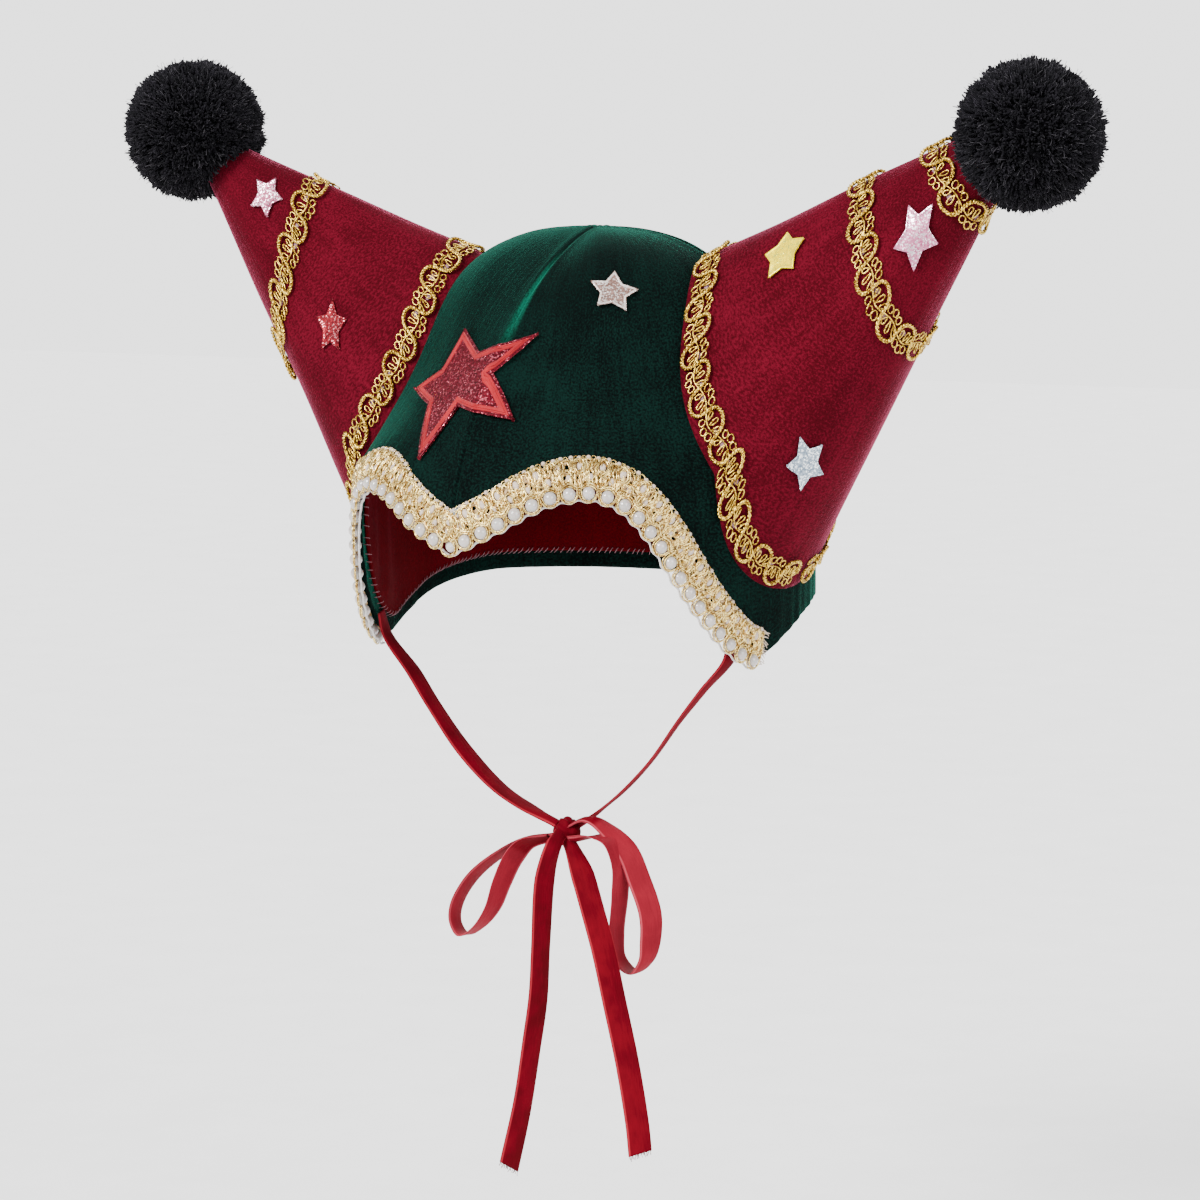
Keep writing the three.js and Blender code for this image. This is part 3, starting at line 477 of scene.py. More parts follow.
class Build:
    """Collects points in millimetres and faces until they become one piece."""

    def __init__(self):
        self.points, self.faces, self.marks, self.count = [], [], [], 0

    def add(self, points, faces, marks=None):
        """faces is one block of faces with equal corners, and marks the UV of each corner."""
        self.points.append(np.asarray(points, float).reshape(-1, 3))
        self.join(faces, marks)
        self.count += len(self.points[-1])

    def join(self, faces, marks=None, shift=None):
        faces = np.asarray(faces)
        self.faces.append(faces + (self.count if shift is None else shift))
        self.marks.append(np.zeros(faces.shape + (2,)) if marks is None else marks)

    def shape(self, points, blocks):
        """Adds points once, with several blocks of faces over them."""
        start = self.count
        self.points.append(points)
        self.count += len(points)
        for block in blocks:
            self.join(block, shift=start)

    def grid(self, rows, closed=False, marks=None, caps=(False, False)):
        """Rows of points as a net, closed round if asked, whose caps are fans to a pole at either end."""
        count, columns = rows.shape[:2]
        net = np.arange(count * columns).reshape(count, columns)
        if closed:
            net = np.concatenate([net, net[:, :1]], 1)
        corners = [(0, 0), (1, 0), (1, 1), (0, 1)]
        high, wide = net.shape
        quads = np.stack([net[i:high - 1 + i, j:wide - 1 + j] for i, j in corners], -1)
        uv = None
        if marks is not None:
            uv = np.stack([marks[i:high - 1 + i, j:wide - 1 + j] for i, j in corners], -2).reshape(-1, 4, 2)
        start = self.count
        self.add(rows, quads.reshape(-1, 4), uv)
        for at, wanted in zip((0, -1), caps):
            if wanted:
                ring = net[at] + start
                pole = self.count
                fan = np.stack([np.full(wide - 1, pole), ring[:-1], ring[1:]], -1)
                fan = fan if at == 0 else fan[:, ::-1]
                uv_fan = None
                if marks is not None:
                    tip = marks[at].mean(0)
                    uv_fan = np.stack([np.tile(tip, (wide - 1, 1)), marks[at, :-1], marks[at, 1:]], 1)
                    uv_fan = uv_fan if at == 0 else uv_fan[:, ::-1]
                self.points.append(rows[at].mean(0)[None])
                self.join(fan, uv_fan, shift=0)
                self.count += 1

    def tubes(self, lines, ups, radius, sides=5, closed=False):
        """Round wires along lines of points, with ups the direction away from what they lie on."""
        lines, ups = np.atleast_3d(lines), np.broadcast_to(ups, lines.shape)
        if closed:
            run = unit(np.roll(lines, -1, 1) - np.roll(lines, 1, 1))
        else:
            run = unit(np.gradient(lines, axis=1))
        side = unit(np.cross(run, ups))
        rise = np.cross(side, run)
        turn = 2 * np.pi * np.arange(sides) / sides
        size = np.broadcast_to(radius, lines.shape[:2])[..., None, None]
        spoke = side[:, :, None] * np.cos(turn)[:, None] + rise[:, :, None] * np.sin(turn)[:, None]
        rings = lines[:, :, None] + spoke * size
        wires, steps = lines.shape[:2]
        net = np.arange(wires * steps * sides).reshape(wires, steps, sides)
        ahead = np.roll(net, -1, 1) if closed else net[:, 1:]
        here = net if closed else net[:, :-1]
        quads = np.stack([here, ahead, np.roll(ahead, -1, 2), np.roll(here, -1, 2)], -1).reshape(-1, 4)
        start = self.count
        self.add(rings, quads)
        if not closed:
            self.join(net[:, 0], shift=start)
            self.join(net[:, -1, ::-1], shift=start)

    def wires(self, track, s, w, h, radius, sides=5, closed=False):
        """Wires along a track, one for each row of places."""
        lines, ups = track.place(s, w, h)
        if lines.ndim == 2:
            lines, ups = lines[None], ups[None]
        self.tubes(lines, ups, radius, sides, closed)

    def copies(self, model, places, axes):
        """One modelled shape set at many places, each turned to its own three axes."""
        points, blocks = model
        turned = places[:, None] + np.einsum("pi,nij->npj", points, axes)
        self.shape(turned.reshape(-1, 3), repeated(blocks, len(places), len(points)))

    def piece(self, name, finish, slot, nodes=()):
        """Makes the piece's object, which rides on the hat and stands for its nodes."""
        points = np.concatenate(self.points) * MM
        mesh = bpy.data.meshes.new(name)
        mesh.vertices.add(len(points))
        mesh.vertices.foreach_set("co", points.astype(np.float32).ravel())
        corners = np.concatenate([block.ravel() for block in self.faces]).astype(np.int32)
        sizes = np.concatenate([np.full(len(block), block.shape[1]) for block in self.faces])
        mesh.loops.add(len(corners))
        mesh.loops.foreach_set("vertex_index", corners)
        mesh.polygons.add(len(sizes))
        mesh.polygons.foreach_set("loop_start", (np.cumsum(sizes) - sizes).astype(np.int32))
        mesh.update(calc_edges=True)
        uv = mesh.uv_layers.new(name="cloth")
        uv.data.foreach_set("uv", np.concatenate([m.reshape(-1) for m in self.marks]).astype(np.float32))
        mesh.polygons.foreach_set("use_smooth", np.ones(len(sizes), bool))
        mesh.validate()
        piece = bpy.data.objects.new(name, mesh)
        bpy.context.scene.collection.objects.link(piece)
        return dress(piece, finish, nodes)


def dress(piece, finish, nodes=()):
    """Ties a piece to the hat, with its finish, or several in the order of its faces' material numbers."""
    for each in finish if isinstance(finish, (list, tuple)) else [finish]:
        piece.data.materials.append(each)
    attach(piece, "root")
    if nodes:
        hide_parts(*nodes)
    return piece


def modelled(shape):
    """Points in millimetres and faces of a shape made with Blender's tools, which is then taken away."""
    mesh = shape.data
    points = np.array([v.co for v in mesh.vertices]) / MM
    blocks = {}
    for polygon in mesh.polygons:
        blocks.setdefault(len(polygon.vertices), []).append(tuple(polygon.vertices))
    bpy.data.objects.remove(shape)
    return points, [np.array(block) for block in blocks.values()]


def deselect():
    if bpy.context.object and bpy.context.object.mode != "OBJECT":
        bpy.ops.object.mode_set(mode="OBJECT")
    bpy.ops.object.select_all(action="DESELECT")


def ball(radius, segments, rings):
    deselect()
    bpy.ops.mesh.primitive_uv_sphere_add(segments=segments, ring_count=rings, radius=radius * MM)
    return modelled(bpy.context.object)


# ---- Finishes ----

class Value:
    """A shader socket that can be used in sums."""

    def __init__(self, finish, socket):
        self.finish, self.socket = finish, socket

    def sum(self, operation, a, b):
        return self.finish.node("ShaderNodeMath", {"operation": operation}, {0: a, 1: b})

    def __add__(self, other):
        return self.sum("ADD", self, other)

    def __sub__(self, other):
        return self.sum("SUBTRACT", self, other)

    def __rsub__(self, other):
        return self.sum("SUBTRACT", other, self)

    def __mul__(self, other):
        return self.sum("MULTIPLY", self, other)

    def absolute(self):
        return self.sum("ABSOLUTE", self, 0)

    __radd__ = __add__
    __rmul__ = __mul__


class Finish:
    """A procedural material while its nodes are made."""

    def __init__(self, name):
        self.material = bpy.data.materials.new(name)
        self.material.use_nodes = True
        self.tree = self.material.node_tree
        self.tree.nodes.clear()

    def node(self, kind, settings=None, sockets=None, out=0):
        node = self.tree.nodes.new(kind)
        for name, value in (settings or {}).items():
            setattr(node, name, value)
        for name, value in (sockets or {}).items():
            if isinstance(value, Value):
                self.tree.links.new(value.socket, node.inputs[name])
            else:
                node.inputs[name].default_value = value
        return Value(self, node.outputs[out])

    def coords(self, kind="Object", stretch=(1, 1, 1)):
        place = self.node("ShaderNodeTexCoord", out={"Object": 3, "UV": 2}[kind])
        return self.node("ShaderNodeMapping", {}, {"Vector": place, "Scale": stretch})

    def noise(self, coords, size, detail=2.0, rough=0.5):
        """Noise whose lumps are size metres across."""
        sockets = {"Vector": coords, "Scale": 1 / size, "Detail": detail, "Roughness": rough}
        return self.node("ShaderNodeTexNoise", {}, sockets)

    def cells(self, coords, size):
        """A random colour for each cell, about size metres across."""
        return self.node("ShaderNodeTexVoronoi", {}, {"Vector": coords, "Scale": 1 / size}, 1)

    def split(self, coords, out):
        return self.node("ShaderNodeSeparateXYZ", {}, {0: coords}, out)

    def ramp(self, value, low, high):
        """0 below low, 1 above high, and smooth between."""
        settings = {"interpolation_type": "SMOOTHSTEP"}
        return self.node("ShaderNodeMapRange", settings, {"Value": value, "From Min": low, "From Max": high})

    def mix(self, share, a, b):
        colours = [v if isinstance(v, Value) else (*v, 1) for v in (a, b)]
        settings = {"data_type": "RGBA", "clamp_factor": True}
        return self.node("ShaderNodeMix", settings, {0: share, 6: colours[0], 7: colours[1]}, 2)

    def bump(self, height, distance, strength=1.0, below=None):
        sockets = {"Height": height, "Distance": distance, "Strength": strength}
        if below is not None:
            sockets["Normal"] = below
        return self.node("ShaderNodeBump", {}, sockets)

    def done(self, **sockets):
        """The material, from the main shader's sockets by their names with _ for a space."""
        named = {}
        for name, value in sockets.items():
            full = name.replace("_", " ")
            colour = full in ("Base Color", "Sheen Tint", "Emission Color", "Specular Tint", "Coat Tint")
            named[full] = (*value, 1) if colour and not isinstance(value, Value) else value
        shader = self.node("ShaderNodeBsdfPrincipled", {}, named)
        output = self.tree.nodes.new("ShaderNodeOutputMaterial")
        self.tree.links.new(shader.socket, output.inputs["Surface"])
        return self.material


def velvet(name, deep, lit, sheen, weight=0.9, seam_highlight=None):
    """Pile cloth: dark where it is seen straight on, with brushed streaks along its length and a bright edge.

    seam_highlight is a painted highlight: a colour laid along the upper part of the seam at the middle of the
    brow, where light catches its ridge."""
    f = Finish(name)
    flat = f.coords("UV")
    brushed = f.noise(f.coords("UV", (1, 0.12, 1)), 0.004, 3, 0.65)
    patches = f.noise(f.coords("Object"), 0.035, 3, 0.6)
    fibre = f.noise(flat, 0.0011, 2, 0.75)
    share = f.ramp(brushed * 0.3 + patches * 0.5 + fibre * 1.3, 0.87, 1.3)
    colour = f.mix(share, deep, lit)
    # Painted highlight: a bright line along the upper front seam, broken up by the pile's noise
    if seam_highlight:
        aside = (f.split(flat, 0) - 0.0005).absolute()
        down = f.split(flat, 1)
        line = (1 - f.ramp(aside, 0.0012, 0.0052)) * f.ramp(down, 0.02, 0.05) * (1 - f.ramp(down, 0.065, 0.1))
        colour = f.mix(line * f.ramp(brushed * 0.5 + fibre * 0.6, 0.3, 0.75), colour, seam_highlight)
    pile = f.bump(fibre, 0.0005, 0.7)
    return f.done(
        Base_Color=colour, Roughness=0.82 + 0.1 * fibre, Normal=f.bump(brushed, 0.0012, 0.3, pile),
        Sheen_Weight=weight, Sheen_Roughness=0.22, Sheen_Tint=sheen, Specular_IOR_Level=0.025)


def gilt(name, light, dark):
    """Metal-wrapped thread: bright turns on a warm dark ground."""
    f = Finish(name)
    body = f.coords("Object")
    tint = f.noise(body, 0.0016, 2, 0.6)
    fleck = f.split(f.cells(body, 0.00055), 0)
    colour = f.mix(f.ramp(tint + fleck * 0.5, 0.5, 1.0), dark, light)
    return f.done(
        Base_Color=colour, Metallic=0.9, Roughness=0.17 + 0.16 * fleck, Normal=f.bump(fleck, 0.0005, 0.85))


def thread(name, light, dark, size=0.0008, rough=0.7):
    """Plain spun thread."""
    f = Finish(name)
    body = f.coords("Object")
    lay = f.noise(body, size, 3, 0.6)
    return f.done(
        Base_Color=f.mix(f.ramp(lay, 0.3, 0.7), dark, light), Roughness=rough,
        Normal=f.bump(lay, 0.0004, 0.6))


def glitter(name, light, dark, sparkle, bright=0.3):
    """Flakes of glitter, each at its own tilt and brightness."""
    f = Finish(name)
    body = f.coords("Object")
    flake = f.cells(body, 0.0006)
    tone = f.split(flake, 0)
    shine = f.split(flake, 1)
    ground = f.mix(tone, dark, light)
    spark = f.ramp(shine, 1 - bright, 1.02 - bright * 0.5)
    return f.done(
        Base_Color=f.mix(spark, ground, sparkle), Metallic=0.5 + 0.4 * spark, Roughness=0.5 - 0.25 * shine,
        Normal=f.bump(tone, 0.0005, 0.9), Specular_IOR_Level=0.15)


def satin(name, light, dark, sheen):
    """Close-woven satin with fine ribs across it."""
    f = Finish(name)
    cloth = f.coords("UV", (1, 6, 1))
    body = f.coords("Object")
    ribs = f.noise(cloth, 0.0014, 2, 0.6)
    tone = f.noise(body, 0.01, 2, 0.5)
    return f.done(
        Base_Color=f.mix(f.ramp(tone + ribs * 0.4, 0.4, 0.95), dark, light), Roughness=0.42,
        Normal=f.bump(ribs, 0.0003, 0.4), Sheen_Weight=0.1, Sheen_Tint=sheen, Sheen_Roughness=0.4,
        Specular_IOR_Level=0.12)


def ribbon_cloth(name, light, dark, edge, sheen, rough, near_knot=None):
    """Narrow velvet ribbon with a paler line along each selvedge. U runs across it, and V from its ends.

    near_knot is the colour of the stretches that are turned over beside the knot."""
    f = Finish(name)
    cloth = f.coords("UV")
    across = f.split(cloth, 0)
    ribs = f.noise(f.coords("UV", (1, 0.15, 1)), 0.0012, 2, 0.6)
    tone = f.noise(f.coords("Object"), 0.012, 2, 0.5)
    from_middle = across.absolute()
    line = f.ramp(from_middle, 0.0044, 0.0047) * (1 - f.ramp(from_middle, 0.0049, 0.005))
    ground = f.mix(f.ramp(tone + ribs * 0.5, 0.5, 1.0), dark, light)
    if near_knot:
        ground = f.mix(f.ramp(f.split(cloth, 1), 0.013, 0.016), near_knot, ground)
    return f.done(
        Base_Color=f.mix(line * 0.7, ground, edge), Roughness=rough, Normal=f.bump(ribs, 0.0004, 0.5),
        Sheen_Weight=0.2, Sheen_Tint=sheen, Sheen_Roughness=0.4, Specular_IOR_Level=0.03)


def pearl_coat(name, body_colour):
    """Coated bead, a little uneven in tone."""
    f = Finish(name)
    tone = f.noise(f.coords("Object"), 0.004, 2, 0.5)
    return f.done(
        Base_Color=f.mix(f.ramp(tone, 0.3, 0.7), body_colour, PEARL_LIGHT), Roughness=0.16 + 0.08 * tone,
        Coat_Weight=0.8, Coat_Roughness=0.06, Specular_IOR_Level=0.6, Subsurface_Weight=0.15,
        Subsurface_Scale=0.002, Sheen_Weight=0.2, Sheen_Tint=(1, 0.9, 0.92))


def yarn(name, light, dark):
    """Soft cut yarn, uneven in tone from tuft to tuft."""
    f = Finish(name)
    body = f.coords("Object")
    tone = f.noise(body, 0.004, 3, 0.7)
    fine = f.noise(body, 0.0006, 2, 0.6)
    return f.done(
        Base_Color=f.mix(f.ramp(tone, 0.35, 0.75), dark, light), Roughness=0.75 + 0.15 * fine,
        Normal=f.bump(fine, 0.0003, 0.5), Sheen_Weight=0.06, Sheen_Roughness=0.3,
        Sheen_Tint=(0.75, 0.65, 0.85), Specular_IOR_Level=0.12)


# Threads: light and dark colour, size of the lay in metres, and roughness
THREADS = {
    "white_cord": ((0.66, 0.63, 0.61), (0.45, 0.42, 0.4), 0.0008, 0.7),
    # Ivory cord darkened with painted shade, where it lies under the gold loops
    "ochre_cord": ((0.6, 0.42, 0.22), (0.36, 0.22, 0.09), 0.0008, 0.7),
    "glue": ((0.3, 0.16, 0.2), (0.2, 0.09, 0.12), 0.001, 0.4),
    "card_edge": ((0.42, 0.3, 0.16), (0.26, 0.17, 0.08), 0.0006, 0.7),
    "foam": ((0.62, 0.56, 0.53), (0.45, 0.4, 0.38), 0.0006, 0.8),
    "yarn_fibre": ((0.05, 0.045, 0.055), (0.02, 0.018, 0.022), 0.0008, 0.7),
    "stitching": ((0.24, 0.11, 0.13), (0.13, 0.05, 0.06), 0.0008, 0.7),
    "lint": ((0.5, 0.58, 0.66), (0.3, 0.38, 0.46), 0.0008, 0.7),
    "paper": ((0.93, 0.93, 0.93), (0.9, 0.9, 0.9), 0.05, 0.9),
}

# Glitters: light and dark flakes, the sparkle's colour, and how much of the face sparkles
GLITTERS = {
    "star_rim": ((0.85, 0.76, 0.7), (0.6, 0.48, 0.42), (1, 0.97, 0.94), 0.5),
    "ruby_glitter": ((0.17, 0.006, 0.018), (0.03, 0.0005, 0.002), (0.85, 0.16, 0.22), 0.2),
    "star_yellow": ((1, 0.8, 0.008), (0.85, 0.62, 0.004), (1, 0.95, 0.15), 0.2),
    "star_pink_glitter": ((0.66, 0.27, 0.4), (0.36, 0.08, 0.17), (1, 0.86, 0.93), 0.36),
    "star_silver": ((0.4, 0.47, 0.54), (0.14, 0.19, 0.25), (0.92, 0.97, 1), 0.36),
    "star_pink": ((0.4, 0.13, 0.19), (0.16, 0.03, 0.065), (1, 0.82, 0.88), 0.28),
    "star_red": ((0.26, 0.012, 0.02), (0.06, 0.002, 0.005), (0.9, 0.3, 0.32), 0.2),
    "star_rose_gold": ((0.38, 0.23, 0.19), (0.14, 0.075, 0.06), (1, 0.92, 0.87), 0.32),
}

PEARL_LIGHT = (0.46, 0.425, 0.4)
FINISHES = {}


def dimmed(colour, share):
    return tuple(value * share for value in colour)


def make_finish(name):
    if name in THREADS:
        return thread(name, *THREADS[name])
    if name in GLITTERS:
        return glitter(name, *GLITTERS[name])
    c = bpy.context.scene.hat_colours
    maker, *values = {
        "green_velvet": (velvet, c.green_deep, c.green_lit, c.green_sheen, 0.9, c.green_seam_highlight),
        "burgundy_velvet": (velvet, c.burgundy_deep, c.burgundy_lit, c.burgundy_sheen),
        "lining": (velvet, dimmed(c.lining, 0.6), c.lining, (0.3, 0.02, 0.05), 0.15),
        "gold_gimp": (gilt, c.gold_light, c.gold_dark),
        "gold_crochet": (gilt, c.crochet_light, c.crochet_dark),
        "ivory": (thread, c.ivory, dimmed(c.ivory, 0.72)),
        "pearl": (pearl_coat, c.pearl),
        "black_yarn": (yarn, c.yarn_light, c.yarn_dark),
        "coral_satin": (satin, c.coral, dimmed(c.coral, 0.6), (1, 0.6, 0.6)),
        "ribbon_coral": (ribbon_cloth, c.ribbon_coral, dimmed(c.ribbon_coral, 0.75), (0.4, 0.05, 0.07),
                         c.ribbon_sheen, 0.6, tuple(c.ribbon_dark)),
        "ribbon_dark": (ribbon_cloth, c.ribbon_dark, dimmed(c.ribbon_dark, 0.6), (0.33, 0.018, 0.03),
                        c.ribbon_sheen, 0.8),
    }[name]
    return maker(name, *values)


def finish(name):
    """Each finish is made once, from the tables above and the colours in the panel."""
    if name not in FINISHES:
        FINISHES[name] = make_finish(name)
    return FINISHES[name]


# ---- Crown, lining and cones ----

def crown_turns(base):
    """Turns round the crown, closer together beside the four seams."""
    near = np.array([0.3, 0.6, 1.0, 1.5, 2.1, 2.8])
    even = np.arange(base) * 360 / base - 180
    seams = np.array([-180, -90, 0, 90])
    far = np.abs((even[:, None] - seams + 180) % 360 - 180).min(1) > 3.2
    close = [seam + sign * near for seam in seams for sign in (-1, 1)]
    turns = np.concatenate([even[far], seams, *close])
    return np.radians(np.unique(np.round((turns + 180) % 360 - 180, 4)))


def seam_relief(distance):
    """Two folded edges meet in a narrow valley between low rolls."""
    return -0.85 * np.exp(-(distance / 0.7) ** 2) + 0.4 * np.exp(-((np.abs(distance) - 2.1) / 1.1) ** 2)


def crown_relief(turn, level, rim_level):
    """How far the velvet stands off its drawn shape: seams, soft rolls, and puckers at the sewn rim."""
    reach = np.linalg.norm(crown_point(turn, level)[..., :2] - [0, CROWN_CENTRE_Y], axis=-1)
    front = seam_relief(reach * np.sin(turn) * CROWN_HALF_WIDTH / BROW_REACH)
    side = seam_relief(reach * np.cos(turn)) * (1 - smooth(0.55, 0.8, level))
    roll = 0.3 * np.sin(5 * turn + 2.1 * level + 0.6) * np.sin(4.2 * level + turn)
    roll = roll + 0.16 * np.sin(11 * turn - 6 * level)
    near_rim = smooth(0.82, 1.0, level / rim_level)
    pucker = near_rim * (0.22 * np.sin(74 * turn) + 0.15 * np.sin(39 * turn + 1))
    return front + side + roll * smooth(0.1, 0.4, level) + pucker


def crown_shell(name, turns, rows, hem_rise, outer, inner, relief, material, slot, nodes):
    """A closed wall from the top down to a rounded edge and back up inside."""
    rim = level_at_height(turns, rim_height(turns) + hem_rise)
    spread = np.linspace(0, 1, rows)[1:, None] ** 0.9
    level = spread * rim
    turn = np.broadcast_to(turns, level.shape)
    normal = crown_normal(turn, level)
    face = crown_point(turn, level) + normal * (outer + relief(turn, level, rim, 1))[..., None]
    back = crown_point(turn, level) + normal * (inner + relief(turn, level, rim, 0))[..., None]
    middle = (face[-1] + back[-1]) / 2
    half = (face[-1] - back[-1]) / 2
    down = unit(face[-1] - face[-3]) * np.linalg.norm(half, axis=-1, keepdims=True)
    lip = [middle + half * math.cos(a) + down * math.sin(a) for a in np.radians([36, 72, 108, 144])]
    sheet = np.concatenate([face, lip, back[::-1]])
    run = np.cumsum(np.linalg.norm(np.diff(sheet, axis=0, prepend=sheet[:1]), axis=-1), 0) * MM
    around = np.concatenate([turns, turns[:1] + 2 * np.pi]) * CROWN_HALF_WIDTH * MM
    marks = np.stack([
        np.broadcast_to(around, (len(sheet), len(around))),
        np.concatenate([run, run[:, :1]], 1)], -1)
    build = Build()
    build.grid(sheet, closed=True, marks=marks, caps=(True, True))
    return build.piece(name, material, slot, nodes)


def build_crown():
    def relief(turn, level, rim, outside):
        return crown_relief(turn, level, rim) * (1 if outside else 0.6)
    crown = crown_shell("velvet_crown", crown_turns(240), 74, 0, 0.0, -VELVET_WALL, relief,
                        finish("green_velvet"), "green_velvet", ["crown"])


def build_lining():
    def relief(turn, level, rim, outside):
        inward = sum(depth * np.exp(-((np.degrees(turn) - at - 6 * (rim - level)) / width) ** 2)
                     for at, width, depth in LINING_FOLDS)
        slack = smooth(0.3, 0.7, level / rim) * (1 - 0.7 * smooth(0.94, 1.0, level / rim))
        return -inward * slack * (0.2 if outside else 1)
    depth = VELVET_WALL + LINING_GAP
    turns = np.radians(np.arange(-180, 180, 1.5))
    lining = crown_shell("satin_lining", turns, 46, HEM_DEPTH - HEM_SEWN, -depth, -depth - LINING_WALL, relief,
                         finish("lining"), "lining", ["lining"])
    random = np.random.default_rng(5)
    turn = np.linspace(-180, 180, HEM_STITCHES, endpoint=False) + random.uniform(-0.3, 0.3, HEM_STITCHES)
    turn = np.radians(turn)
    line = []
    for along, rise, proud in STITCH_LINE:
        at = turn + along * math.radians(STITCH_LEAN)
        level = level_at_height(at, rim_height(at) + rise)
        line.append(crown_point(at, level) + crown_normal(at, level) * proud)
    lines = np.stack(line, 1)
    level = level_at_height(turn, rim_height(turn) + 6)
    ups = -crown_normal(turn, level)[:, None]
    build = Build()
    build.tubes(lines, ups, 0.2, 4)
    build.piece("hem_stitches", finish("stitching"), "lining")


def build_cone(name):
    side = SIDES[name]
    around = np.radians(np.concatenate([np.arange(0, 268, 2.2), [268, 269, 269.5, 270, 270.5, 271, 272],
                                        np.arange(273.5, 359, 2.2)]))
    seam = seam_share(side, around)
    slant = slant_length(side, around)
    spread = np.linspace(0, 1, 70)[:, None]
    share = CONE_TIP_SHARE + (seam + 0.8 / slant - CONE_TIP_SHARE) * spread
    turn = np.broadcast_to(around, share.shape)
    radius = RING_HALF_DEPTH * share
    seam_line = seam_relief((turn - np.radians(270)) * radius) * smooth(0.08, 0.16, share)
    loose = 0.35 * np.sin(3 * turn + 5 * share) * np.sin(9 * share + 1.7)
    loose = loose + 0.18 * np.sin(7 * turn - 11 * share)
    relief = (seam_line + loose) * smooth(0.0, 0.12, 1 - spread) - 0.5 * smooth(0.97, 1, spread)
    face, normal = cone_at(side, share, turn, relief)
    back = face - normal * VELVET_WALL
    middle, half = (face[-1] + back[-1]) / 2, (face[-1] - back[-1]) / 2
    down = unit(face[-1] - face[-2]) * 0.4
    sheet = np.concatenate([face, [middle + half * 0.7 + down, middle - half * 0.7 + down], back[::-1]])
    if side["out"] < 0:
        sheet = sheet[:, ::-1]
    down = share * slant
    run = np.concatenate([down, down[-1:] + 1, down[-1:] + 2, down[::-1]]) * MM
    across = np.concatenate([around, [2 * np.pi]]) * 36 * MM
    run = np.concatenate([run, run[:, :1]], 1)
    marks = np.stack([np.broadcast_to(across, run.shape), run], -1)
    if side["out"] < 0:
        marks = marks[:, ::-1]
    build = Build()
    build.grid(sheet, closed=True, marks=marks, caps=(True, True))
    cone = build.piece(f"velvet_cone_{name}", finish("burgundy_velvet"), "burgundy_velvet", [f"cone_{name}"])


# ---- Braids ----

def scroll_braid(track, name, node):
    """Gimp braid: a doubled cord meanders, with a stem, leaves inside each scroll and picots outside."""
    random = np.random.default_rng(len(name))
    count = max(2, round(track.length / SCROLL_RUN))
    cell = track.length / count
    k = np.arange(count)
    side = np.where(k % 2, -1.0, 1.0)
    scale = cell / SCROLL_RUN
    build = Build()

    # The cord's line over all scrolls, then its two strands, laid round each other
    steps = 44
    t = np.linspace(0, 1, steps, endpoint=False)
    run = (k[:, None] + t - 0.1 * np.sin(2 * np.pi * t)).ravel() * cell
    across = (side[:, None] * CORD_REACH * np.sin(np.pi * t) ** 0.75).ravel()
    lift = np.tile(CORD_RISE + 0.5 * np.sin(np.pi * t), count)
    run, across, lift = np.append(run, count * cell), np.append(across, 0), np.append(lift, CORD_RISE)
    ahead, aside = np.gradient(run), np.gradient(across)
    length = np.hypot(ahead, aside)
    lay = 2 * np.pi * np.cumsum(length) / CORD_LAY
    for turned in (lay, lay + np.pi):
        shift = 0.46 * np.cos(turned)
        build.wires(track, run - aside / length * shift, across + ahead / length * shift,
                    lift + 0.4 * np.sin(turned), STRAND_RADIUS, 6)

    t = np.linspace(-0.04, 1.04, 10)
    s = (k[:, None] + t) * cell
    w = -side[:, None] * (0.1 + 1.5 * np.sin(np.pi * np.clip(t, 0, 1)) ** 1.2)
    build.wires(track, s, w, 1.15 + 0.25 * np.sin(np.pi * t), 0.36)

    turn = np.linspace(0, 2 * np.pi, 11)
    for at, angle, reach in LEAVES:
        lean = np.radians(angle + random.uniform(-9, 9, (count, 1)))
        out = reach * np.sin(turn / 2) ** 2
        aside = 1.15 * np.sin(turn) * np.sin(turn / 2) ** 1.2
        base = -1.2 * math.sin(math.pi * at)
        along = out * np.sin(lean) + aside * np.cos(lean)
        rise = base + out * np.cos(lean) - aside * np.sin(lean)
        s = (k[:, None] + at) * cell + along * scale
        build.wires(track, s, side[:, None] * rise, 1.0 + 0.3 * np.sin(turn / 2), 0.33)

    turn = np.linspace(0, 2 * np.pi, 10, endpoint=False)
    for at, reach in PICOTS:
        size = 1.42 + random.uniform(-0.12, 0.12, (count, 1))
        s = (k[:, None] + at + random.uniform(-0.02, 0.02, (count, 1))) * cell + size * np.cos(turn)
        w = -side[:, None] * (reach + size * np.sin(turn) * 1.1)
        build.wires(track, s, w, 0.95 + 0.2 * np.sin(turn), WIRE_RADIUS, 5, True)
    build.piece(name, finish("gold_gimp"), "gold_gimp", [node])

    # Specks of the glue that holds the braid, seen between its wires
    glue = Build()
    s = (k + random.uniform(0.1, 0.9, count)) * cell
    places, axes = frames(track, s, random.uniform(-2.2, 2.2, count), 0.3)
    points, faces = ball(1, 8, 6)
    glue.copies((points * [1.7, 1.2, 0.45], faces), places, axes)
    glue.piece(f"glue_{name}", finish("glue"), "gold_gimp")


